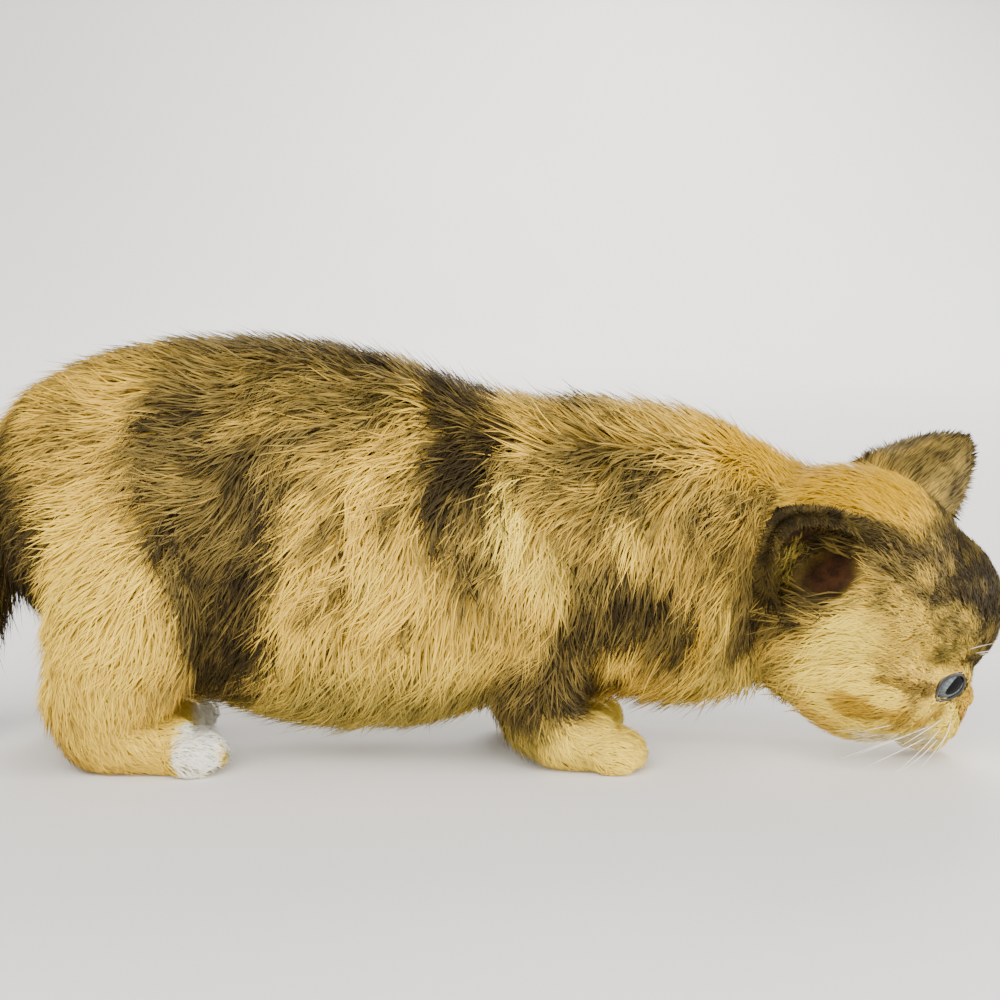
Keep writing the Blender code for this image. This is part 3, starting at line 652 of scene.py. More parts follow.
LEG_STROKES = {
    "hind": (
        ((-99, -34, 30), (-0.35, 0, -0.9), 12, 4.5, 0.75),
        ((-112, -22, 26), (-0.3, 0, -0.95), 12, 4.5, 0.75),
        ((-92, -34, 18), (-0.1, 0, -1), 9, 3.2, 0.65),
        ((-108, -24, 13), (0.0, 0, -1), 8, 2.6, 0.6),
        ((-96, -24, 14), (0.6, 0, -0.8), 7, 2.2, 0.55),
        ((-86, -24, 13), (0.95, 0, -0.3), 6, 1.7, 0.5),
        ((-88, -33, 7), (0.9, 0, -0.3), 6, 1.6, 0.5),
        ((-76, -24, 9), (0.95, 0, -0.3), 4.5, 1.1, 0.42),
        ((-100, -33, 7), (0.5, 0, -0.6), 7, 2.0, 0.55),
    ),
    "front": (
        ((12, -30, 22), (-0.3, 0, -0.95), 12, 4.2, 0.7),
        ((2, -20, 20), (-0.3, 0, -0.95), 12, 4.0, 0.7),
        ((20, -20, 24), (0.1, 0, -1), 9, 3.4, 0.6),
        ((8, -29, 12), (0.2, 0, -0.9), 8, 2.4, 0.6),
        ((20, -20, 15), (0.85, 0, -0.5), 6, 1.8, 0.5),
        ((22, -29, 8), (0.9, 0, -0.3), 5.5, 1.5, 0.5),
        ((31, -20, 9), (0.95, 0, -0.3), 4.5, 1.1, 0.42),
        ((6, -20, 6), (0.6, 0, -0.5), 6, 1.8, 0.5),
    ),
}
HEAD_STROKES = (
    ((35, 0, -5), (-0.75, 0, 0.65), 2.6, 0.9, 0.34),
    ((30, 0, 2), (-0.6, 0, 0.8), 3.2, 1.0, 0.36),
    ((28, 9, 6), (-0.7, 0.3, 0.65), 3.4, 1.1, 0.36),
    ((27, 0, 18), (-0.6, 0, 0.8), 4.4, 1.4, 0.42),
    ((18, 12, 24), (-0.85, 0.1, 0.5), 5.0, 1.6, 0.45),
    ((8, 0, 31), (-1, 0, 0.1), 6.0, 1.9, 0.5),
    ((-10, 0, 32), (-1, 0, -0.05), 8.0, 2.6, 0.55),
    ((-28, 0, 22), (-1, 0, -0.4), 11, 4.5, 0.6),
    ((14, 21, 12), (-0.95, 0.2, 0.1), 5.0, 1.6, 0.42),
    ((22, 19, 6), (-0.8, 0.5, 0.2), 3.6, 1.1, 0.36),
    ((23, 18, -8), (-0.85, 0.4, -0.2), 3.6, 1.1, 0.36),
    ((27, 9, -5), (-0.6, 0.7, 0.1), 3.0, 0.9, 0.34),
    ((5, 27, 4), (-0.9, 0.1, -0.35), 7.0, 2.0, 0.5),
    ((12, 27, -7), (-0.85, 0.1, -0.5), 6.0, 1.8, 0.45),
    ((0, 29, -10), (-0.75, 0, -0.65), 9.0, 2.6, 0.55),
    ((-12, 26, -10), (-0.5, 0, -0.85), 16, 6.0, 0.7),
    ((8, 24, -21), (-0.85, 0, -0.5), 9.0, 2.8, 0.55),
    ((-8, 20, -24), (-0.6, 0, -0.8), 17, 7.0, 0.7),
    ((-6, 0, -27), (-0.85, 0, -0.5), 13, 4.6, 0.7),
    ((10, 6, -29), (-0.95, 0, -0.3), 9.0, 2.6, 0.55),
    ((26, 4, -26), (-0.95, 0, -0.25), 4.4, 1.3, 0.4),
    ((34, 0, -21), (-0.6, 0, -0.7), 3.2, 1.0, 0.36),
    ((34, 7, -13), (-0.7, 0.5, -0.5), 3.0, 0.9, 0.34),
    ((26, 13, -15), (-0.8, 0.35, -0.5), 3.8, 1.1, 0.38),
    ((-22, 22, 8), (-0.9, 0, -0.4), 10, 4.0, 0.6),
    ((-26, 20, -10), (-0.5, 0, -0.85), 18, 7.0, 0.75),
)
TAIL_STROKE = (19, 9.5, 0.9)


def stroke_rows():
    """All strokes as one array: the pairs on both sides, each leg's in its own place, the tail's along it."""
    rows = []
    for (x, y, z), (dx, dy, dz), *rest in SIDE_STROKES:
        for side in (1, -1) if y else (1,):
            rows.append((x, y * side, z, dx, dy * side, dz, *rest))
    for name, (_, _, side, back) in LEGS.items():
        for (x, y, z), (dx, dy, dz), *rest in LEG_STROKES[name.split("_")[0]]:
            rows.append((x + back, y * side, z, dx, dy * side, dz, *rest))
    for (f, l, u), (df, dl, du), *rest in HEAD_STROKES:
        for side in (1, -1) if l else (1,):
            place = from_head((f, l * side, u))
            way = np.array((df, dl * side, du)) @ HEAD_AXES
            rows.append((*place, *way, *rest))
    line = np.array(TAIL)[:, :3]
    for place, way in zip(line[1:], np.diff(line, axis=0)):
        rows.append((*place, *way, *TAIL_STROKE))
    return np.array(rows)


STROKES = stroke_rows()
STROKES[:, 3:6] = unit(STROKES[:, 3:6])
print("strokes:", len(STROKES))


def combed(points):
    """Way, length, rise and width at each point: the strokes weighed by 1 / (distance squared + 30) squared."""
    made = []
    for some in np.array_split(points, max(1, len(points) // 20000)):
        gap = ((some[:, None] - STROKES[None, :, :3]) ** 2).sum(-1)
        weight = 1 / (gap + 30) ** 2
        made.append(weight @ STROKES[:, 3:] / weight.sum(1, keepdims=True))
    made = np.concatenate(made)
    return unit(made[:, :3]), made[:, 3], made[:, 4], made[:, 5]

# %% [markdown]
# ## Markings
# The coat is a patchwork: golden ground, a grey-brown wash over the back and hips, dark bands,
# an orange nape, a pale cheek and white toes, with painted shade in the dark of the belly's
# underside and, in part, of the groin. Each patch is an egg-shaped stroke of paint with a soft
# edge, laid over those before it. Soft noise bends space first, so no edge is a plain oval.
# Three numbers come out, for dark, orange and cream, and the materials turn them into colour.

# %% Patches of the coat: centre and half sizes in mm, then dark, orange and cream
WIDE = 99
BODY_PATCHES = (
    ((-40, 0, 112), (86, 30, 22), (0.62, 0.05, 0.0)),
    ((-30, 0, 50), (32, WIDE, 32), (0.18, 0.10, 0.06)),
    ((-112, 0, 90), (18, WIDE, 22), (0.42, 0.12, 0.0)),
    ((-70, 0, 72), (19, WIDE, 36), (0.74, 0.0, 0.0)),
    ((-54, 0, 92), (30, WIDE, 10), (0.66, 0.0, 0.0)),
    ((-38, 0, 110), (44, 24, 13), (0.84, 0.0, 0.0)),
    ((-101, 0, 44), (20, WIDE, 27), (0.0, 0.16, 0.14)),
    ((-7, 0, 84), (10, WIDE, 24), (0.98, 0.0, 0.0)),
    ((-4, 0, 61), (7, WIDE, 13), (0.66, 0.0, 0.0)),
    ((-77, 0, 84), (9, WIDE, 9), (0.88, 0.0, 0.0)),
    ((-60, 0, 62), (8, WIDE, 13), (0.84, 0.0, 0.0)),
    ((-71, 0, 48), (8, WIDE, 10), (0.90, 0.0, 0.0)),
    # groin: dark fur, made fully dark partly as painted shade of the crease between thigh and belly
    ((-66, 0, 34), (11, WIDE, 18), (1.0, 0.0, 0.0)),
    ((-44, 0, 78), (5, WIDE, 5), (0.55, 0.0, 0.0)),
    ((-40, 0, 66), (5, WIDE, 5), (0.58, 0.0, 0.0)),
    ((-36, 0, 53), (4, WIDE, 5), (0.50, 0.0, 0.0)),
    ((-24, 0, 72), (5, WIDE, 7), (0.50, 0.0, 0.0)),
    ((-30, 0, 60), (4, WIDE, 4), (0.02, 0.10, 0.25)),
    ((-46, 0, 46), (5, WIDE, 6), (0.44, 0.05, 0.0)),
    ((-20, 0, 42), (5, WIDE, 8), (0.40, 0.08, 0.0)),
    ((-30, 0, 30), (34, WIDE, 9), (0.14, 0.10, 0.16)),
    # belly underside: the cream is the pale belly fur, the dark share is painted shade of the underside
    ((-28, 0, 8), (46, WIDE, 23), (0.60, 0.0, 0.30)),
    ((27, 0, 66), (27, WIDE, 29), (0.52, 0.06, 0.02)),
    ((31, 0, 45), (15, WIDE, 9), (0.98, 0.0, 0.0)),
    ((44, 0, 38), (7, WIDE, 11), (0.82, 0.0, 0.0)),
    ((17, 0, 36), (9, WIDE, 9), (0.84, 0.0, 0.0)),
    ((53, 0, 60), (5, WIDE, 12), (0.60, 0.0, 0.0)),
    ((38, 0, 76), (5, WIDE, 9), (0.74, 0.0, 0.0)),
    ((24, 0, 84), (6, WIDE, 9), (0.66, 0.0, 0.0)),
    ((15, 0, 77), (5, WIDE, 9), (0.60, 0.0, 0.0)),
    ((27, 0, 58), (4, WIDE, 10), (0.66, 0.0, 0.0)),
    ((34, 0, 62), (4, WIDE, 6), (0.10, 0.12, 0.22)),
    ((5, 0, 64), (5, WIDE, 11), (0.05, 0.0, 0.50)),
    ((13, 0, 54), (5, WIDE, 7), (0.16, 0.05, 0.30)),
    ((14, 0, 23), (19, WIDE, 11), (0.80, 0.0, 0.0)),
    ((26, 0, 4), (15, WIDE, 9), (0.14, 0.08, 0.45)),
    ((-92, 0, 8), (14, WIDE, 9), (0.08, 0.14, 0.15)),
    ((-75, 0, 5), (7.5, WIDE, 9), (0.0, 0.0, 1.0)),
    ((62, 0, 52), (12, WIDE, 24), (0.60, 0.0, 0.0)),
    ((49, 0, 36), (2.5, WIDE, 13), (0.30, 0.75, 0.0)),
    ((57, 0, 40), (3, WIDE, 8), (0.25, 0.1, 0.2)),
    ((60, 0, 22), (14, WIDE, 9), (0.40, 0.0, 0.35)),
    ((-126, 0, 60), (17, WIDE, 27), (0.98, 0.0, 0.0)),
    ((-142, 0, 40), (22, 26, 44), (0.86, 0.0, 0.0)),
    ((74, 0, 80), (21, 26, 12), (0.12, 0.95, 0.0)),
)
HEAD_PATCHES = (
    ((4, 0, 2), (33, 32, 31), (0.50, 0.05, 0.06)),
    ((12, 7, 20), (25, 19, 17), (0.78, 0.0, 0.0)),
    ((16, 5, 23), (18, 17, 12), (1.04, 0.0, 0.0)),
    ((-1, 16, 23), (12, 9, 8), (0.70, 0.0, 0.0)),
    ((15, 19, 13), (8, 9, 7), (0.62, 0.0, 0.06)),
    ((-22, 3, 27), (20, 20, 12), (0.12, 0.95, 0.0)),
    ((-12, 19, 22), (8, 8, 7), (0.84, 0.0, 0.0)),
    ((5, 26, 12), (7, 9, 5), (0.34, 0.0, 0.14)),
    ((-6, 27, 8), (7, 9, 4.5), (0.30, 0.0, 0.26)),
    ((8, 25, 6), (11, 9, 6), (0.36, 0.0, 0.16)),
    ((-24, 24, 0), (10, 12, 15), (0.78, 0.0, 0.0)),
    ((-5, 28, -4), (8, 12, 13), (0.0, 0.05, 0.60)),
    ((4, 27, -10), (13, 12, 9), (0.04, 0.16, 0.46)),
    ((22, 15, -4), (9, 9, 10), (0.20, 0.10, 0.34)),
    ((21, 16, 9), (6, 6, 5), (0.52, 0.0, 0.12)),
    ((27, 5, 10), (8, 11, 9), (0.92, 0.0, 0.0)),
    ((-22, 22, 15), (9, 9, 9), (0.95, 0.05, 0.0)),
    ((24, 10, -23), (15, 17, 8), (0.36, 0.0, 0.84)),
    ((30, 7, -14), (9, 9, 8), (0.14, 0.10, 0.60)),
    ((32, 0, 0), (7, 6, 8), (0.52, 0.30, 0.0)),
    ((35, 0, -9), (5.5, 7, 6), (0.30, 0.50, 0.0)),
    ((18.5, 21, -2.0), (4.2, 4, 1.8), (0.80, 0.45, 0.0)),
    ((13.5, 25, -2.6), (4.0, 4, 1.7), (0.76, 0.45, 0.0)),
    ((8.5, 27, -3.6), (3.6, 4, 1.5), (0.56, 0.45, 0.0)),
    ((6.5, 28, -13), (6.5, 6, 3.4), (0.48, 0.80, 0.0)),
    ((15.5, 25, -10.5), (5, 5, 2.2), (0.44, 0.65, 0.0)),
    ((25, 15, -10.5), (7, 7, 2.8), (0.42, 0.70, 0.0)),
    ((21, 15, -19.5), (15, 16, 6), (0.36, 0.0, 0.86)),
)
GROUND = (0.3, 0.08, 0.02)


def laid_over(marks, points, patches):
    """Each patch mixed in, fully inside three quarters of its size and fading out beyond it."""
    for centre, radii, paint in patches:
        reach = np.linalg.norm((points - centre) / radii, axis=1)
        share = np.clip((1.25 - reach) / 0.5, 0, 1)
        share = (share * share * (3 - 2 * share))[:, None]
        marks = marks * (1 - share) + np.array(paint) * share
    return marks


def markings(points):
    """Dark, orange and cream at each point of the drawing."""
    bent = points + 4.5 * mottle_vector(points, 15, 3.0) + 1.6 * mottle_vector(points, 5, 31.0)
    marks = laid_over(np.tile(GROUND, (len(points), 1)), bent, BODY_PATCHES)
    local = to_head(points + 1.2 * mottle_vector(points, 6, 57.0))
    local[:, 1] = np.abs(local[:, 1])
    inside = np.linalg.norm(local, axis=1) < 42
    marks[inside] = laid_over(marks[inside], local[inside], HEAD_PATCHES)
    speckle = 0.16 * mottle(bent, 7.0, 77.0) + 0.12 * mottle(bent, 3.2, 91.0)
    marks[:, 0] += speckle * (1 - marks[:, 2])
    return np.clip(marks, 0, 1.3)


skin_marks = markings(skin_points)
# In each ear's hollow the marks turn near black and the skin takes the dark cup colour: reddish-brown skin with
# painted shade of the hollow.
cup_share = np.zeros(len(skin_points))
for side, paint in (("right", (1.0, 0.2, 0.0)), ("left", (0.9, 0.3, 0.0))):
    share = np.clip(hollow_share(skin_points, side) * 4, 0, 1)[:, None]
    skin_marks = skin_marks * (1 - share) + np.array(paint) * share
    cup_share = np.maximum(cup_share, share[:, 0])
set_attribute(skin.data, "marks", skin_marks)
set_attribute(skin.data, "inside", cup_share)

# %% [markdown]
# ## Locks of hair
# Single hairs would be millions. A lock here is a slim three-sided spindle, wide in its middle
# and drawn to a point at both ends, and there are well over a hundred thousand. Each starts
# just under the skin, steps along the strokes while the skin is asked where it is, and rises
# to its tip. Hairs that share a seed lean together, as a soft coat does.

# %% Paths of the hairs
FINE = 0.62
FINE_SHORT = 0.72
SHARP = 0.42


def chance(points, salt):
    """A number from 0 to 1 for each hair, from its root."""
    return cell_value(points * 9.7, salt)


def hair_paths(roots, normals, segments, clump, cling, scale=(1.0, 1.0, 1.0), salt=0.0):
    """Stations of each hair, the way out at each, its width, and the numbers of its clump and its own."""
    _, length, rise, width = combed(roots)
    length = length * scale[0] * (0.66 + 0.6 * chance(roots, salt + 1))
    stray = chance(roots, salt + 2) > 0.93
    rise = rise * scale[1] * (0.7 + 0.5 * chance(roots, salt + 3)) * np.where(stray, 1.3, 1.0)
    width = width * scale[2] * np.where(stray, 0.7, 1.0)
    seed, mark = clump_of(roots, clump, salt)
    own = chance(roots, salt + 4)
    turn = 0.5 * (own - 0.5) + 0.55 * (mark - 0.5)
    curl = 1.3 * (chance(roots, salt + 5) - 0.5) + 0.7 * (mark - 0.5)
    pull = seed - roots
    pull = pull - normals * (pull * normals).sum(1, keepdims=True)
    stations, outs = [roots - normals * 0.6], [normals]
    place, normal = roots, normals
    for k in range(1, segments + 1):
        share = k / segments
        way = combed(place)[0] + 0.3 * mottle_vector(place, 15.0, 5.0)
        flat = unit(way - 0.92 * normal * (way * normal).sum(1, keepdims=True))
        aside = np.cross(normal, flat)
        lean = turn + curl * (share - 0.5)
        heading = flat * np.cos(lean)[:, None] + aside * np.sin(lean)[:, None]
        step = heading * (length / segments)[:, None]
        near, facing = nearest_on(asking_skin, place + step)
        normal = unit(facing + 0.6 * normal)
        lift = (rise * share**0.8)[:, None]
        gathered = pull * (0.55 * share**1.5)
        hugged = near + normal * lift + gathered
        free = stations[-1] + step + normals * (rise / segments)[:, None]
        stations.append(hugged * cling + free * (1 - cling))
        outs.append(normal)
        place = near
    path = np.stack(stations, 1)
    path[..., 2] = np.maximum(path[..., 2], 0.4)
    return path, np.stack(outs, 1), width, mark, own


def kept(hairs, keep):
    """The hairs for which keep is true."""
    return tuple(part[keep] for part in hairs)


def spindles(path, outs, width, own):
    """Three-sided spindles: a point at the root, a left, a ridge and a right point at each inner station, a tip."""
    count, stations = path.shape[:2]
    rings = stations - 2
    ahead = unit(np.gradient(path, axis=1))
    aside = unit(np.cross(ahead, outs))
    up = np.cross(aside, ahead)
    roll = ((own * 7.0 % 1.0) - 0.5)[:, None, None] * 1.1
    aside, up = aside * np.cos(roll) + up * np.sin(roll), up * np.cos(roll) - aside * np.sin(roll)
    full = np.linspace(1.0, 0.8, rings) if rings > 1 else np.ones(1)
    half = (0.5 * width[:, None] * full)[..., None]
    low, aside, up = path[:, 1:-1], aside[:, 1:-1], up[:, 1:-1]
    ring = np.stack([low - aside * half, low + up * half * 0.8, low + aside * half], 2)
    points = np.concatenate([path[:, :1], ring.reshape(count, -1, 3), path[:, -1:]], 1)
    points[..., 2] = np.maximum(points[..., 2], 0.05)
    size = 3 * rings + 2
    base = (np.arange(count) * size)[:, None, None]
    i = 1 + np.arange(3)
    j = 1 + (np.arange(3) + 1) % 3
    sides = [np.stack([j + s, j + s + 3, i + s + 3, i + s], -1) for s in range(0, 3 * rings - 3, 3)]
    quads = (np.array(sides, int).reshape(1, -1, 4) + base).reshape(-1, 4)
    last = 3 * rings - 3
    foot = np.stack([np.zeros(3, int), j, i], -1)
    tip = np.stack([j + last, np.full(3, size - 1), i + last], -1)
    ends = np.concatenate([foot, tip])
    triangles = (ends[None] + base).reshape(-1, 3)
    along = np.concatenate([[0.0], np.repeat(np.arange(1, rings + 1) / (rings + 1), 3), [1.0]])
    across = np.concatenate([[0.5], np.tile((0.0, 0.5, 1.0), rings), [0.5]])
    facing = np.stack([-aside, up, aside], 2) * SHARP + outs[:, 1:-1, None] * (1 - SHARP)
    facing = np.concatenate([outs[:, :1], unit(facing).reshape(count, -1, 3), outs[:, -1:]], 1)
    return (points.reshape(-1, 3), quads, triangles), along, across, facing.reshape(-1, 3)


PATCH = 0.003


def coat_piece(name, hairs, unwrap, marks=None, material=None):
    """One mesh from lists of hairs, with the numbers its material reads and a small patch of map for each hair."""
    parts, along_all, across_all, normals_all, lock_all, marks_all, roots_all = [], [], [], [], [], [], []
    for path, outs, width, mark, own in hairs:
        part, along, across, facing = spindles(path, outs, width, own)
        parts.append(part)
        count, size = len(path), len(along)
        along_all.append(np.tile(along, count))
        across_all.append(np.tile(across, count))
        normals_all.append(facing)
        lock_all.append(np.repeat(np.column_stack([own, mark]), size, axis=0))
        shown = markings(path[:, -1] * 0.45 + path[:, 0] * 0.55) if marks is None else marks(path)
        marks_all.append(np.repeat(shown, size, axis=0))
        roots_all.append(np.repeat(path[:, 0], size, axis=0))
    obj = make_object(name, *joined(parts), material=material)
    mesh = obj.data
    along, across = np.concatenate(along_all), np.concatenate(across_all)
    set_attribute(mesh, "marks", np.concatenate(marks_all))
    set_attribute(mesh, "lock", np.column_stack([along, np.concatenate(lock_all)]))
    set_attribute(mesh, "custom_normal", np.concatenate(normals_all))
    place = unwrap(np.concatenate(roots_all)) * (1 - 2 * PATCH) + PATCH
    place = place + PATCH * (np.stack([across, along], -1) - 0.5)
    corners = np.empty(len(mesh.loops), np.int32)
    mesh.loops.foreach_get("vertex_index", corners)
    layer = mesh.uv_layers.new(name="OFBake")
    layer.data.foreach_set("uv", place[corners].astype(np.float32).ravel())
    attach(obj, "root")
    faces = sum(len(part[1]) * 2 + len(part[2]) for part in parts)
    print(f"{name}: {sum(len(h[0]) for h in hairs)} hairs, {faces} triangles")
    return obj


# %% [markdown]
# ## Maps for the coat
# A baked picture of a coat needs a flat map on which each hair has its own small place. The
# body is unrolled like a sleeve round a line through it: one direction of the map runs along
# the line and the other round it. The head, the legs and the tail each have a line too.

# %% Unrolling a part round its own line


def unrolled(line):
    """Gives the map of a part: how far along its line a point is, and its turn round the line, 0 to 1."""
    line = np.asarray(line, float)
    starts, steps = line[:-1], np.diff(line, axis=0)
    sizes = np.linalg.norm(steps, axis=1)
    before = np.cumsum(sizes) - sizes

    def place_of(points):
        share = ((points[:, None] - starts) * steps).sum(-1) / sizes**2
        inner = np.clip(share, 0, 1)
        gap = np.linalg.norm(points[:, None] - (starts + inner[..., None] * steps), axis=-1)
        best = gap.argmin(1)
        rows = np.arange(len(points))
        along = before[best] + share[rows, best] * sizes[best]
        ahead = (steps / sizes[:, None])[best]
        side = unit(np.cross(ahead, (0.0, 0.31, 0.95)))
        other = np.cross(ahead, side)
        arm = points - (starts[best] + inner[rows, best][:, None] * steps[best])
        turn = np.arctan2((arm * side).sum(1), (arm * other).sum(1)) / math.tau + 0.5
        spread = (along - along.min()) / max(np.ptp(along), 1e-6)
        return np.stack([spread, turn], -1)

    return place_of


# %% Roots of the hairs
NECK_CUT = ((71, 0, 50), (0.97, 0, -0.24))
NOSE_PLACE = from_head((36.9, 0, -11.6))


def triangles_of(mesh):
    """Corners of every triangle as an array of shape (count, 3, 3), in the drawing."""
    mesh.calc_loop_triangles()
    corners = np.empty(len(mesh.loop_triangles) * 3, np.int32)
    mesh.loop_triangles.foreach_get("vertices", corners)
    return points_of(mesh)[corners.reshape(-1, 3)]


def scattered(corners, density, salt):
    """Roots spread evenly: the triangles' shares are summed, and every whole step of the sum is a root."""
    a, b, c = corners.transpose(1, 0, 2)
    cross = np.cross(b - a, c - a)
    total = np.cumsum(0.5 * np.linalg.norm(cross, axis=1) * density)
    steps = np.arange(int(total[-1])) + 0.5
    pick = np.searchsorted(total, steps)
    p = cell_value(np.stack([steps, steps * 0.37, steps * 0], -1), salt)
    q = cell_value(np.stack([steps * 0.71, steps, steps * 0], -1), salt + 3)
    flip = p + q > 1
    p, q = np.where(flip, 1 - p, p)[:, None], np.where(flip, 1 - q, q)[:, None]
    return a[pick] * (1 - p - q) + b[pick] * p + c[pick] * q, unit(cross)[pick]


def bare(points, normals):
    """True where no hair grows: inside the lids, on the nose, along the mouth and under the paws."""
    found = np.linalg.norm((points - NOSE_PLACE) @ HEAD_AXES.T / (2.4, 3.4, 2.7), axis=1) < 1
    found |= (normals[:, 2] < -0.6) & (points[:, 2] < 3.0)
    found |= in_opening(points, 1.08)
    for side in EARS:
        found |= hollow_share(points, side) > 0.10
    near = np.linalg.norm(points - from_head((28, 0, -16)), axis=1) < 20
    for side in (1, -1):
        line = line_of(np.array(MOUTH)[:5] * (1, side, 1), 40)
        found[near] |= distance_to(points[near], line) < 0.6
    return found



# %% [markdown]
# ## Materials
# Hair colour is not flat: a lock is darker at its root, where neighbours shade it, and paler or
# darker at the tip, and each lock differs from the next. One shader group turns the three marks
# and the lock's own numbers into a colour. The skin uses the same group, so that where the coat
# parts, what shows between the locks is the same kitten.

# %% Helpers for materials


def tone(red, green, blue):
    """A colour as a painter reads it, 0 to 255, turned into the linear light that shaders take."""
    share = np.array((red, green, blue)) / 255
    light = np.where(share <= 0.04045, share / 12.92, ((share + 0.055) / 1.055) ** 2.4)
    return (*light.tolist(), 1.0)


class Tree:
    """A node tree with short words for what the lesson does most: add, set and link."""

    def __init__(self, tree):
        self.tree = tree

    def add(self, kind, inputs=(), **settings):
        node = self.tree.nodes.new(kind)
        for key, value in settings.items():
            setattr(node, key, value)
        for key, value in dict(inputs).items():
            if isinstance(value, bpy.types.NodeSocket):
                self.tree.links.new(value, node.inputs[key])
            else:
                node.inputs[key].default_value = value
        return node

    def math(self, operation, a, b=0.0, clamp=False):
        return self.add("ShaderNodeMath", {0: a, 1: b}, operation=operation, use_clamp=clamp).outputs[0]

    def mix(self, share, a, b, blend="MIX"):
        made = self.add("ShaderNodeMix", {0: share, 6: a, 7: b}, data_type="RGBA", blend_type=blend)
        return made.outputs[2]

    def parts(self, vector):
        return self.add("ShaderNodeSeparateXYZ", {0: vector}).outputs

    def ramp(self, share, stops, interpolation="LINEAR"):
        node = self.add("ShaderNodeValToRGB", {0: share})
        node.color_ramp.interpolation = interpolation
        ramp = node.color_ramp.elements
        while len(ramp) < len(stops):
            ramp.new(0.5)
        for element, (place, colour) in zip(ramp, stops):
            element.position = place
            element.color = colour
        return node.outputs[0]

    def noise(self, vector, scale, detail=3.0, roughness=0.6):
        settings = {"Vector": vector, "Scale": scale, "Detail": detail, "Roughness": roughness}
        return self.add("ShaderNodeTexNoise", settings).outputs[0]


def new_group(name, inputs, outputs):
    """A shader node group with named sockets, its tree, its inputs and its output node."""
    group = bpy.data.node_groups.new(name, "ShaderNodeTree")
    for key, kind in inputs.items():
        group.interface.new_socket(key, in_out="INPUT", socket_type=kind)
    for key, kind in outputs.items():
        group.interface.new_socket(key, in_out="OUTPUT", socket_type=kind)
    tree = Tree(group)
    return group, tree, tree.add("NodeGroupInput").outputs, tree.add("NodeGroupOutput").inputs


def new_material(name, **sockets):
    """A material with one Principled BSDF whose plain values are set on its own sockets."""
    material = bpy.data.materials.new(name)
    material.use_nodes = True
    tree = Tree(material.node_tree)
    shader = material.node_tree.nodes["Principled BSDF"]
    for key, value in sockets.items():
        shader.inputs[key.replace("_", " ")].default_value = value
    return material, tree, shader


# %% Colour of the coat
GOLD = tone(255, 212, 76)
BUFF = tone(214, 172, 64)
OLIVE = tone(128, 107, 50)
SABLE = tone(45, 35, 14)
ORANGE = tone(192, 146, 2)
CREAM = tone(255, 228, 92)
WHITE = tone(246, 243, 228)


def coat_colour_group():
    """Marks and lock in, colour and roughness out."""
    inputs = {"Marks": "NodeSocketVector", "Lock": "NodeSocketVector", "Place": "NodeSocketVector"}
    outputs = {"Color": "NodeSocketColor", "Roughness": "NodeSocketFloat"}
    group, t, given, out = new_group("coat_colour", inputs, outputs)
    dark, orange, cream = t.parts(given["Marks"])[:3]
    along, own, clump = t.parts(given["Lock"])[:3]
    patchy = t.noise(given["Place"], 170.0)
    sway = t.math("ADD", t.math("MULTIPLY", t.math("SUBTRACT", own, 0.5), 0.19),
                  t.math("MULTIPLY", t.math("SUBTRACT", clump, 0.5), 0.28))
    sway = t.math("ADD", sway, t.math("MULTIPLY", t.math("SUBTRACT", patchy, 0.5), 0.5))
    ticked = t.math("MULTIPLY", t.math("GREATER_THAN", own, 0.86), t.math("MULTIPLY", along, 0.30))
    sway = t.math("ADD", sway, ticked)
    quiet = t.math("SUBTRACT", 1.0, t.math("MULTIPLY", cream, 0.7))
    dark = t.math("ADD", dark, t.math("MULTIPLY", sway, quiet), clamp=True)
    colour = t.ramp(dark, ((0.0, GOLD), (0.3, BUFF), (0.62, OLIVE), (1.0, SABLE)))
    warmth = t.math("MULTIPLY", orange, t.math("SUBTRACT", 1.0, t.math("MULTIPLY", dark, 0.8)))
    colour = t.mix(warmth, colour, ORANGE)
    pale = t.ramp(cream, ((0.0, CREAM), (0.62, CREAM), (1.0, WHITE)))
    pale_share = t.math("MULTIPLY", t.math("MULTIPLY", cream, 1.25, clamp=True),
                        t.math("SUBTRACT", 1.0, t.math("MULTIPLY", dark, 0.9)))
    colour = t.mix(pale_share, colour, pale)
    shade = t.ramp(along, ((0.0, (0.50, 0.46, 0.36, 1)), (0.35, (0.84, 0.81, 0.72, 1)), (0.75, (1, 1, 1, 1))))
    colour = t.mix(1.0, colour, shade, "MULTIPLY")
    t.tree.links.new(colour, out["Color"])
    t.tree.links.new(t.math("ADD", 0.5, t.math("MULTIPLY", own, 0.2)), out["Roughness"])
    return group


COAT_COLOUR = coat_colour_group()


def coat_material():
    material, t, shader = new_material("coat", Specular_IOR_Level=0.12)
    place = t.add("ShaderNodeTexCoord").outputs["Object"]
    marks = t.add("ShaderNodeAttribute", attribute_name="marks").outputs["Vector"]
    lock = t.add("ShaderNodeAttribute", attribute_name="lock").outputs["Vector"]
    made = t.add("ShaderNodeGroup", node_tree=COAT_COLOUR)
    for key, value in (("Marks", marks), ("Lock", lock), ("Place", place)):
        t.tree.links.new(value, made.inputs[key])
    t.tree.links.new(made.outputs["Color"], shader.inputs["Base Color"])
    t.tree.links.new(made.outputs["Roughness"], shader.inputs["Roughness"])
    return material


def cup_skin_and_shade(t, place):
    """The clouded reddish brown of bare skin deep in the ear, painted near black as painted shade of the hollow."""
    return t.ramp(t.noise(place, 260.0), ((0.35, tone(34, 20, 9)), (0.65, tone(66, 40, 20))))


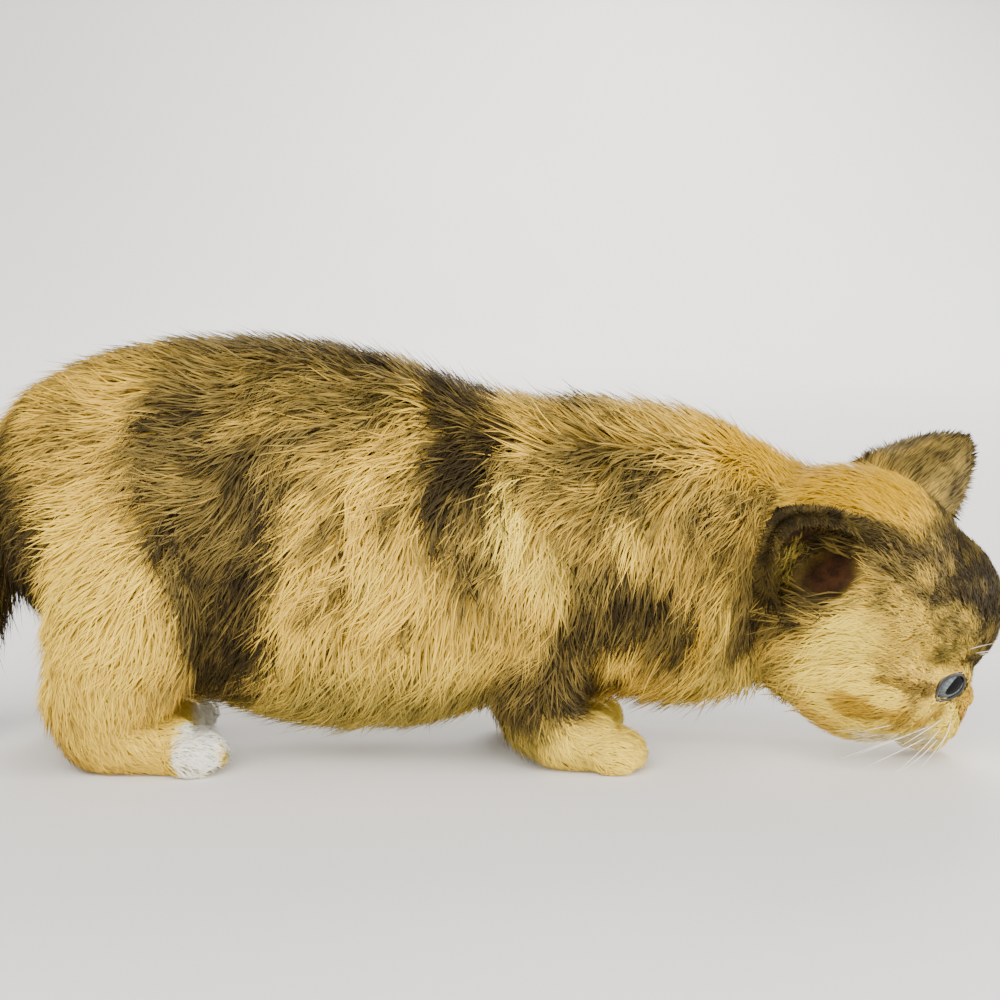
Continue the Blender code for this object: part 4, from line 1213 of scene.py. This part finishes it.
def skin_material():
    """The coat's colour in half shade, with the fine grain of short hair, and bare skin in the ear's hollow, there
    darkened with painted shade.
    """
    material, t, shader = new_material("skin", Specular_IOR_Level=0.1)
    place = t.add("ShaderNodeTexCoord").outputs["Object"]
    marks = t.add("ShaderNodeAttribute", attribute_name="marks").outputs["Vector"]
    grain = t.noise(place, 1400.0, 4.0)
    lock = t.add("ShaderNodeCombineXYZ", {0: 0.3, 1: grain, 2: t.noise(place, 300.0)}).outputs[0]
    made = t.add("ShaderNodeGroup", node_tree=COAT_COLOUR)
    for key, value in (("Marks", marks), ("Lock", lock), ("Place", place)):
        t.tree.links.new(value, made.inputs[key])
    inside = t.add("ShaderNodeAttribute", attribute_name="inside").outputs["Fac"]
    colour = t.mix(inside, made.outputs["Color"], cup_skin_and_shade(t, place))
    t.tree.links.new(colour, shader.inputs["Base Color"])
    t.tree.links.new(made.outputs["Roughness"], shader.inputs["Roughness"])
    bump = t.add("ShaderNodeBump", {"Strength": 0.7, "Distance": 0.0006, "Height": grain})
    t.tree.links.new(bump.outputs[0], shader.inputs["Normal"])
    return material


def bare_skin_material(name, colours, grain_scale, roughness, strength=0.4, **sockets):
    """Bare skin, as on the nose, the lids and inside the ear: two colours clouded together over fine pores."""
    material, t, shader = new_material(name, Roughness=roughness, **sockets)
    place = t.add("ShaderNodeTexCoord").outputs["Object"]
    cloud = t.noise(place, 260.0)
    pores = t.noise(place, grain_scale, 2.0)
    colour = t.ramp(cloud, ((0.35, colours[0]), (0.65, colours[1])))
    colour = t.mix(t.math("MULTIPLY", pores, 0.35), colour, colours[0])
    t.tree.links.new(colour, shader.inputs["Base Color"])
    bump = t.add("ShaderNodeBump", {"Strength": strength, "Distance": 0.0003, "Height": pores})
    t.tree.links.new(bump.outputs[0], shader.inputs["Normal"])
    return material


def ear_material():
    """The coat's colour on the back and rim, and clouded reddish-brown skin in the cup, darkened with painted shade
    of the cup.
    """
    material, t, shader = new_material("ear_skin", Specular_IOR_Level=0.15, Roughness=0.6)
    place = t.add("ShaderNodeTexCoord").outputs["Object"]
    marks = t.add("ShaderNodeAttribute", attribute_name="marks").outputs["Vector"]
    inside = t.add("ShaderNodeAttribute", attribute_name="inside").outputs["Fac"]
    grain = t.noise(place, 1400.0, 4.0)
    lock = t.add("ShaderNodeCombineXYZ", {0: 0.3, 1: grain, 2: 0.5}).outputs[0]
    made = t.add("ShaderNodeGroup", {"Marks": marks, "Lock": lock, "Place": place}, node_tree=COAT_COLOUR)
    colour = t.mix(inside, made.outputs["Color"], cup_skin_and_shade(t, place))
    t.tree.links.new(colour, shader.inputs["Base Color"])
    bump = t.add("ShaderNodeBump", {"Strength": 0.5, "Distance": 0.0004, "Height": grain})
    t.tree.links.new(bump.outputs[0], shader.inputs["Normal"])
    return material


def eye_material():
    """Rings round the gaze: a black pupil, a grey-blue iris with fine rays and a dark edge, then dark brown beyond
    it.
    """
    material, t, shader = new_material("eye", Roughness=0.3, Specular_IOR_Level=0.0, Coat_Weight=0.2,
                                         Coat_Roughness=0.03)
    iris = t.add("ShaderNodeAttribute", attribute_name="iris").outputs["Vector"]
    across, up, reach = t.parts(iris)[:3]
    turn = t.math("ARCTAN2", up, across)
    rays = t.add("ShaderNodeCombineXYZ", {0: t.math("MULTIPLY", t.math("COSINE", turn), 9.0),
                                          1: t.math("MULTIPLY", t.math("SINE", turn), 9.0),
                                          2: t.math("MULTIPLY", reach, 1.2)}).outputs[0]
    streak = t.noise(rays, 1.6, 4.0)
    colour = t.ramp(streak, ((0.3, tone(58, 66, 70)), (0.5, tone(98, 108, 112)), (0.72, tone(150, 158, 156))))
    edge = t.ramp(reach, ((0.0, (0.75, 0.8, 0.7, 1)), (0.45, (1, 1, 1, 1)), (0.76, (0.5, 0.55, 0.6, 1)), (0.88, (0.06, 0.06, 0.07, 1))))
    colour = t.mix(1.0, colour, edge, "MULTIPLY")
    outside = t.math("GREATER_THAN", reach, 0.9)
    colour = t.mix(outside, colour, tone(44, 34, 28))
    slit = t.math("SQRT", t.math("ADD", t.math("POWER", t.math("DIVIDE", across, 0.30), 2.0),
                                 t.math("POWER", t.math("DIVIDE", up, 0.50), 2.0)))
    pupil = t.ramp(slit, ((0.9, (1, 1, 1, 1)), (1.08, (0, 0, 0, 1))))
    colour = t.mix(pupil, colour, (0.003, 0.003, 0.004, 1))
    t.tree.links.new(colour, shader.inputs["Base Color"])
    return material


def whisker_material():
    """White at the root and clear-tipped: smooth, with a soft gleam."""
    material, t, shader = new_material("whisker", Roughness=0.35, Specular_IOR_Level=0.4)
    lock = t.add("ShaderNodeAttribute", attribute_name="lock").outputs["Vector"]
    colour = t.ramp(t.parts(lock)[0], ((0.0, tone(214, 206, 186)), (0.3, tone(244, 241, 230)), (1.0, tone(255, 254, 248))))
    t.tree.links.new(colour, shader.inputs["Base Color"])
    return material


COAT_MATERIAL = coat_material()
skin.data.materials.append(skin_material())
EAR_SKIN = ear_material()
NOSE_SKIN = bare_skin_material("nose_leather", (tone(150, 92, 48), tone(186, 124, 66)), 3200.0, 0.45, 0.6, Coat_Weight=0.2)
LID_SKIN = bare_skin_material("lid_rim", (tone(24, 17, 12), tone(44, 32, 22)), 3000.0, 0.35, 0.3, Coat_Weight=0.3)
LIP_SKIN = bare_skin_material("lip", (tone(84, 56, 40), tone(128, 90, 66)), 3000.0, 0.45)
EYE_MATERIAL = eye_material()
WHISKER = whisker_material()

# %% [markdown]
# ## The coat
# Two layers, as on a real kitten: a woolly under coat of short wide locks that covers the skin,
# and a top coat of slim ones. On the face and feet both are small. How many locks grow on a
# stretch of skin follows from their size, so that long hair is not thicker than short hair.

# %% The coat of the body
FULLNESS = {"under": 4.0, "top": 13.0, "short": 8.0}
corners = triangles_of(skin.data)
middles = corners.mean(1)
_, long_there, _, wide_there = combed(middles)
beyond_neck = ((middles - NECK_CUT[0]) @ np.array(NECK_CUT[1])) > 0
near_leg = (middles[:, 2] < 24) & (np.abs(middles[:, 1]) > 10) & (long_there < 13.5)
left_half = to_head(middles)[:, 1] > 0
tail_line = smooth_rows(TAIL, 60)[8:, :3]
PARTS = {
    "head_right": beyond_neck & ~left_half,
    "head_left": beyond_neck & left_half,
    "legs_front": ~beyond_neck & near_leg & (middles[:, 0] > -40),
    "legs_hind": ~beyond_neck & near_leg & (middles[:, 0] <= -40),
    "tail": (middles[:, 0] < -119) & (distance_to(middles, tail_line) < 9),
}
taken = np.any(list(PARTS.values()), axis=0)
BACK_LINE = ((-125, 0, 60), (104, 0, 60))
TRUNK_CUTS = (-126, -98, -74, -50, -26, 0, 28, 52, 80)
for k, (start, stop) in enumerate(zip(TRUNK_CUTS, TRUNK_CUTS[1:])):
    PARTS[f"trunk_{k + 1}"] = ~taken & (middles[:, 0] >= start) & (middles[:, 0] < stop)
HEAD_LINE = (from_head((-34, 0, 0)), from_head((40, 0, -8)))
LINES = {
    "head_right": HEAD_LINE,
    "head_left": HEAD_LINE,
    "tail": np.array(TAIL)[1:, :3],
    "legs_front": ((12, 0, 30), (12, 0, 0)),
    "legs_hind": ((-95, 0, 34), (-95, 0, 0)),
}


def grown(name, where):
    """The two layers of one part of the coat as lists of hairs."""
    short = name.startswith(("head", "legs"))
    fine = FINE_SHORT if short else FINE
    hairs = []
    for salt, layer in ((11.0, "under"), (47.0, "top")):
        fullness = FULLNESS["short"] if short and layer == "top" else FULLNESS[layer]
        wide = fine * (2.1 if layer == "under" else 1.0)
        density = fullness / (long_there * wide_there * wide)
        roots, normals = scattered(corners[where], density[where], salt)
        keep = ~bare(roots, normals)
        roots, normals = roots[keep], normals[keep]
        segments = 2 if short or layer == "under" else 3
        scale = (0.8, 0.62, wide) if layer == "under" else (1.0, 1.0, wide)
        made = hair_paths(roots, normals, segments, 2.6 if short else 6.5, 0.88 if short else 0.72, scale, salt)
        tips = made[0][:, -1]
        over_ear = np.maximum(hollow_share(tips, "right"), hollow_share(tips, "left")) > 0.2
        hairs.append(kept(made, ~over_ear & ~in_opening(tips, 1.04)))
    return hairs


for name, where in PARTS.items():
    coat_piece(f"coat_{name}", grown(name, where), unrolled(LINES.get(name, BACK_LINE)), material=COAT_MATERIAL)

# %% [markdown]
# ## Dressing the ears
# The back of each ear wears soft fur that runs to the tip and past it, the rim carries a thick
# fringe, and long pale hairs cross the cup from its lower edge. Inside the fringe the skin is
# reddish brown, painted very dark to stand for the shade deep in the cup.

# %% Ears and their hair
EAR_DARK = {"right": 0.84, "left": 0.62}


def plain_hairs(roots, ways, outs, length, width, bend, mark=0.5):
    """Free hairs in two steps: along their way, then bent by a share of their length."""
    own = chance(roots, 71.0)
    size = (length * (0.7 + 0.6 * own))[:, None]
    middle = roots + ways * size * 0.5 + outs * size * 0.06
    tip = roots + unit(ways + bend) * size
    path = np.stack([roots - ways * 0.4, middle, tip], 1)
    return path, np.repeat(outs[:, None], 3, 1), np.full(len(roots), width), np.full(len(roots), mark), own


def spread(count, salt, low=(0.0, 0.0), high=(1.0, 1.0)):
    """Two even chances for each of count hairs, as columns from low to high."""
    steps = np.arange(count)[:, None] * np.array((0.754878, 0.569840)) + salt
    return (np.array(low) + (steps % 1.0) * (np.array(high) - low)).T


def ear_way(side, u, v, step=0.01):
    return unit(ear_leaf(side, u, v + step) - ear_leaf(side, u, v - step))


def ear_marks(dark, cream, orange=0.0):
    """Marks of one kind of hair on the ear, uneven from tuft to tuft."""
    def marks(path):
        made = np.zeros((len(path), 3))
        made[:, 0] = np.clip(dark + 0.18 * mottle(path[:, 0], 4.0), 0, 1)
        made[:, 1] = orange
        made[:, 2] = cream
        return made

    return marks


def ear_fringe(side):
    """Hairs along the rim, fanned from the back of the ear over its edge to the inside."""
    t, w = spread(2600, 0.37, (-1.0, 0.0), (1.0, 1.0))
    edge_v = np.clip(1.04 * (1 - np.abs(t) ** 2.2), -0.02, 0.95)
    edge_u = np.where(edge_v > 0.94, t * 3, np.sign(t) * (0.84 + 0.14 * w))
    edge = ear_leaf(side, np.clip(edge_u, -0.98, 0.98), edge_v)
    heart = ear_leaf(side, 0 * t, 0 * t + 0.3)
    facing = ear_normal(side, np.clip(edge_u, -0.9, 0.9), edge_v)
    ways = unit(unit(edge - heart) + (1.5 * w[:, None] - 0.75) * facing + 0.3 * ear_way(side, 0 * t, edge_v))
    lift = facing * (w[:, None] - 0.5) * EAR_THICK
    outs = unit(edge - heart + 2.5 * facing * (w[:, None] - 0.3))
    return plain_hairs(edge + lift, ways, outs, 4.8, 0.40, 0.15 * facing)


def ear_back(side):
    """Fur of the back, lying along the ear towards its tip."""
    u, v = spread(3600, 0.11, (-0.98, -0.1), (0.98, 0.95))
    normal, way = ear_normal(side, u, v), ear_way(side, u, v)
    return plain_hairs(ear_leaf(side, u, v) - normal * 0.5, unit(way - 0.42 * normal), -normal, 5.2, 0.48, -0.1 * normal)


def ear_down(side):
    """Short hairs on the inside, thin in the middle of the cup."""
    u, v = spread(900, 0.23, (-0.97, 0.0), (0.97, 0.9))
    normal = ear_normal(side, u, v)
    way = unit(ear_way(side, u, v) * 0.9 + normal * 0.35)
    hairs = plain_hairs(ear_leaf(side, u, v) + normal * 0.5, way, normal, 3.4, 0.34, 0.1 * normal)
    return kept(hairs, np.abs(u) + 0.5 * v > 0.55)


def ear_crossing(side):
    """Long pale hairs, in loose tufts, that cross the cup from its lower edge."""
    u, v = spread(110, 0.61, (0.1, -0.18), (0.9, 0.5))
    u = -u if side == "right" else u
    normal = ear_normal(side, u, v)
    roots = ear_leaf(side, u, v) + normal * 0.4
    over = unit(ear_leaf(side, -0.7 * u, v + 0.3) - roots + 2.0 * normal)
    over = unit(over + 0.55 * mottle_vector(roots, 2.2, 8.0))
    return plain_hairs(roots, over, normal, 7.5, 0.25, 0.5 * ear_way(side, u, v))


for side in EARS:
    ear = make_object(f"ear_cup_{side}", *ear_shell(side), EAR_SKIN)
    columns = np.abs(np.concatenate([np.linspace(-1, 1, 41), np.full(41, 1.0)]))
    inside = np.clip((0.85 - columns) / 0.2, 0, 1)
    inside = np.append(np.tile(inside, 40), (0.0, 0.0))
    set_attribute(ear.data, "inside", inside)
    set_attribute(ear.data, "marks", np.tile((EAR_DARK[side], 0.0, 0.0), (len(inside), 1)))
    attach(ear, "root")
    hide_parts(f"ear_{side}")
    zero = np.zeros(1)
    line = (ear_leaf(side, zero, zero)[0], ear_leaf(side, zero, zero + 0.9)[0])
    fur = [ear_back(side), ear_fringe(side)]
    coat_piece(f"coat_ear_{side}", fur, unrolled(line), ear_marks(EAR_DARK[side], 0.0), COAT_MATERIAL)
    coat_piece(f"hair_in_ear_{side}", [ear_down(side)], unrolled(line), ear_marks(EAR_DARK[side], 0.0, 0.1), COAT_MATERIAL)
    coat_piece(f"hair_across_ear_{side}", [ear_crossing(side)], unrolled(line), ear_marks(0.86, 0.6), COAT_MATERIAL)

# %% [markdown]
# ## Eyes
# A kitten's eye is a wet ball with a clear bulge at the front, so light makes one small bright
# mark on it. The ball is turned round the gaze line and swells a little there, the iris and
# pupil are rings round that line, and a dark rim of skin closes the gap to the lids.

# %% Eyeballs and lid rims


def eyeball(side, rows=48, columns=64):
    """Turned round the gaze: the radius grows by 0.5 mm at the front, where the cornea stands out."""
    axes = gaze_axes(-1 if side == "right" else 1, EYE_LIFT)
    down = np.linspace(0.02, math.pi - 0.02, rows)[:, None]
    turn = np.linspace(0, math.tau, columns, endpoint=False)[None]
    radius = EYE_RADIUS - 0.35 + 0.5 * np.exp(-((down / 0.62) ** 2))
    local = np.stack([np.cos(down) + 0 * turn, np.sin(down) * np.cos(turn), np.sin(down) * np.sin(turn)], -1)
    points, quads, triangles = shell(local * radius[..., None] @ axes + from_head(EYES[side]))
    ball = make_object(f"eyeball_{side}", points, quads, triangles, EYE_MATERIAL)
    reach = np.concatenate([(down + 0 * turn).ravel(), (0.0, math.pi)])
    flat = np.concatenate([local[..., 1:].reshape(-1, 2), np.zeros((2, 2))])
    set_attribute(ball.data, "iris", np.column_stack([flat * np.array((1.0, 1.0)), reach]))
    return ball


def lid_rim(side, count=96, sides=12):
    """A thin round cord bent along the almond, lying on the eyeball and raised at its rear corner."""
    axes = gaze_axes(-1 if side == "right" else 1)
    turn = np.linspace(0, math.tau, count, endpoint=False)
    across = LID_OPENING[0] * np.cos(turn)
    up = LID_OPENING[1] * np.sin(turn) * (1 - 0.16 * np.cos(turn) ** 2)
    out = np.sqrt(np.maximum((EYE_RADIUS + 0.15) ** 2 - across**2 - up**2, 1.0))
    rear = np.clip(-0.64 * np.cos(turn) - 0.77 * np.sin(turn), 0, 1) ** 2
    line = np.stack([out + 0.9 * rear, across, up], -1)
    above = unit(line)
    ahead = unit(np.roll(line, -1, 0) - np.roll(line, 1, 0))
    aside = np.cross(ahead, above)
    spin = np.linspace(0, math.tau, sides, endpoint=False)[None, :, None]
    ring = line[:, None] + 0.68 * (aside[:, None] * np.cos(spin) + 0.8 * above[:, None] * np.sin(spin))
    grid = ring @ axes + from_head(EYES[side])
    index = np.arange(count * sides).reshape(count, sides)
    quads = np.stack([index, np.roll(index, -1, 0), np.roll(np.roll(index, -1, 0), -1, 1), np.roll(index, -1, 1)], -1)
    none = np.empty((0, 3), int)
    return make_object(f"lid_rim_{side}", *outward(grid.reshape(-1, 3), quads.reshape(-1, 4), none), LID_SKIN)


for side in EYES:
    ball = eyeball(side)
    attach(ball, "root")
    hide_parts(f"eye_{side}")
    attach(lid_rim(side), "root")

# %% [markdown]
# ## Nose, lips and whiskers
# The nose is a small pad, wide above and drawn to a point below, with two comma-shaped
# nostrils. The lips are thin dark cords sunk in the groove of the mouth. Whiskers grow from
# the pads beside the nose and droop by their own weight; a few stand over the eyes.

# %% The nose


def nose_pad(rows=28, columns=48):
    """A flattened dome: round above, narrowing downward, with a dent pressed in at each nostril."""
    reach = np.linspace(0.02, 1.0, rows)[:, None]
    turn = np.linspace(0, math.tau, columns, endpoint=False)[None]
    wide = 3.4 * (1 - 0.34 * np.clip(-np.sin(turn), 0, 1) ** 1.5)
    across = reach * wide * np.cos(turn)
    up = reach * np.where(np.sin(turn) > 0, 2.3, 3.1) * np.sin(turn)
    dome = 1.3 * np.sqrt(np.clip(1 - reach**2.6, 0, 1)) + 0 * turn
    groove = 0.35 * np.exp(-((across / 0.45) ** 2)) * (up < 0.6)
    hole = sum(np.exp(-(((across - s * (2.0 - 0.25 * up)) / 0.8) ** 2 + ((up + 0.35) / 0.75) ** 2)) for s in (1, -1))
    front = np.stack([dome - groove - 1.5 * hole, across, up], -1)
    back = front[::-1] * (0, 0.86, 0.86) - (2.4, 0, 0)
    local = np.concatenate([front, back]) @ tilt_nose().T + (36.5, 0, -11.5)
    points, quads, triangles = shell(from_head(local))
    return make_object("nose", points, quads, triangles, NOSE_SKIN)


def tilt_nose(angle=math.radians(16)):
    """The pad leans back at its top."""
    c, s = math.cos(angle), math.sin(angle)
    return np.array(((c, 0, s * -1), (0, 1, 0), (s, 0, c)))


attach(nose_pad(), "root")

# %% Lips and whiskers


def cord(line, radii, sides=8):
    """Rings square to a line: each point of the line plus its radius round it."""
    ahead = unit(np.gradient(line, axis=0))
    aside = unit(np.cross(ahead, (0.12, 0.31, 0.94)))
    other = np.cross(ahead, aside)
    spin = np.linspace(0, math.tau, sides, endpoint=False)[None, :, None]
    rings = line[:, None] + radii[:, None, None] * (aside[:, None] * np.cos(spin) + other[:, None] * np.sin(spin))
    return shell(rings)


lips = []
for side in (1, -1):
    line = line_of(np.array(MOUTH) * (1, side, 1), 48)
    near, facing = nearest_on(asking_skin, line)
    lips.append(cord(near + facing * 0.05, 0.42 * np.sin(np.linspace(0.5, math.pi - 0.15, 48)) ** 0.5))
lip = make_object("lips", *joined(lips), material=LIP_SKIN)
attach(lip, "root")

WHISKERS = (
    ((31.5, 9.0, -11.5), (-0.1, 1.0, 0.10), 22),
    ((30.0, 10.0, -12.0), (-0.4, 1.0, 0.05), 25),
    ((28.0, 11.0, -12.5), (-0.7, 0.9, 0.0), 26),
    ((32.0, 8.4, -13.6), (-0.2, 1.0, -0.06), 21),
    ((30.5, 10.0, -14.2), (-0.3, 1.0, -0.12), 25),
    ((28.5, 11.0, -14.6), (-0.6, 0.9, -0.14), 27),
    ((26.0, 11.6, -14.8), (-0.9, 0.8, -0.12), 25),
    ((31.5, 8.0, -16.2), (-0.3, 0.95, -0.20), 19),
    ((30.0, 9.6, -16.8), (-0.55, 0.9, -0.22), 22),
    ((27.5, 10.6, -17.0), (-0.65, 0.8, -0.28), 23),
)
BROWS = (
    ((23, 12, 9), (0.4, 0.45, 0.75), 12),
    ((21, 14, 10), (0.2, 0.65, 0.8), 14),
    ((24.5, 10.5, 8.5), (0.5, 0.3, 0.65), 11),
)


def whisker_set():
    """Each whisker leaves its pad straight and droops a little, by the square of its length, thinning to a point."""
    parts, along = [], []
    for table in (WHISKERS, BROWS):
        for (f, l, u), (df, dl, du), length in table:
            for side in (1, -1):
                start = from_head((f, l * side, u))
                way = unit(np.array((df, dl * side, du)) @ HEAD_AXES)
                share = np.linspace(0, 1, 18)[:, None]
                line = nearest_on(asking_skin, start[None])[0] + way * length * share
                line = line + np.array((0, 0, -0.07 * length)) * share**2
                line = line + np.array((-0.16 * length, 0, 0)) * share**2
                line[:, 2] = 0.5 * (line[:, 2] + 1.0 + np.hypot(line[:, 2] - 1.0, 2.0))
                parts.append(cord(line, 0.14 * (1 - 0.86 * share[:, 0]), 5))
                along.append(np.append(np.repeat(share[:, 0], 5), (0.0, 1.0)))
    made = make_object("whiskers", *joined(parts), material=WHISKER)
    along = np.concatenate(along)
    set_attribute(made.data, "lock", np.stack([along, along, along], -1))
    return made


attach(whisker_set(), "root")

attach(skin, "root")
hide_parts("head", "neck", "torso", "tail_base", "tail_tip",
            "leg_hind_right", "leg_hind_left", "leg_front_right", "leg_front_left")

# %% [markdown]
# ## The studio
# A pale floor that curves up behind, soft lights, one of them small and low for the gleam in
# the eye, and a camera as low and as far as the
# photographer's: 600 mm away, 8 degrees above level, looking square at the kitten's side.

# %% Floor, lights and camera
CAMERA_AIM = np.array((0.0, 0.0, 66.0))
CAMERA_FAR, CAMERA_HIGH = 600.0, math.radians(8)


def sweep(rows=40, wide=12.0):
    """A floor that turns up into a wall: flat, a quarter round, then straight up."""
    turn = np.linspace(0, math.pi / 2, rows)
    profile = np.concatenate([[(-12.0, 0.0)], np.stack([1.2 + 0.6 * np.sin(turn), 0.6 - 0.6 * np.cos(turn)], -1), [(1.8, 3.0)]])
    left = np.column_stack([np.full(len(profile), -wide), profile])
    right = np.column_stack([np.full(len(profile), wide), profile])
    points = np.stack([left, right], 1).reshape(-1, 3)
    index = np.arange(len(profile) - 1) * 2
    quads = np.stack([index, index + 1, index + 3, index + 2], -1)
    return points * 1000 - SHIFT, quads


points, quads = sweep()
floor_material, t, shader = new_material("floor", Roughness=0.75, Specular_IOR_Level=0.2)
cloud = t.noise(t.add("ShaderNodeTexCoord").outputs["Object"], 3.0)
t.tree.links.new(t.ramp(cloud, ((0.3, tone(224, 222, 218)), (0.7, tone(230, 228, 224)))), shader.inputs["Base Color"])
floor = make_object("floor", points, quads, np.empty((0, 3), int), floor_material)


def soft_light(name, place, aim, size, power, colour=(1, 1, 1)):
    lamp = bpy.data.lights.new(name, "AREA")
    lamp.shape = "DISK"
    lamp.size = size
    lamp.energy = power
    lamp.color = colour
    obj = bpy.data.objects.new(name, lamp)
    bpy.context.scene.collection.objects.link(obj)
    obj.location = place
    obj.visible_camera = False
    look_at(obj, aim)
    return obj


def look_at(obj, aim):
    """Turns an object so that its own -Z points at a place, with its Y up."""
    way = Vector(aim) - obj.location
    obj.rotation_euler = way.to_track_quat("-Z", "Y").to_euler()


soft_light("key", (-0.5, -1.35, 1.0), (0, 0, 0.05), 1.7, 54, (1.0, 0.96, 0.90))
soft_light("fill", (1.2, -0.9, 0.7), (0, 0, 0.05), 1.2, 20)
soft_light("back", (0.2, 1.5, 0.9), (0, 0, 0.05), 1.0, 32)
soft_light("catch", (1.19, -0.15, 0.2), (0.11, 0, 0.03), 0.26, 14)
world = bpy.data.worlds.new("studio")
world.use_nodes = True
world.node_tree.nodes["Background"].inputs["Color"].default_value = (0.96, 0.97, 1.0, 1)
world.node_tree.nodes["Background"].inputs["Strength"].default_value = 0.62
bpy.context.scene.world = world

lens = bpy.data.cameras.new("camera")
lens.sensor_width = 36
lens.lens = 83.08
camera = bpy.data.objects.new("camera", lens)
bpy.context.scene.collection.objects.link(camera)
aim = (CAMERA_AIM + SHIFT) / 1000
back = np.array((0, -math.cos(CAMERA_HIGH), math.sin(CAMERA_HIGH)))
camera.location = aim + back * CAMERA_FAR / 1000
look_at(camera, aim)
bpy.context.scene.camera = camera
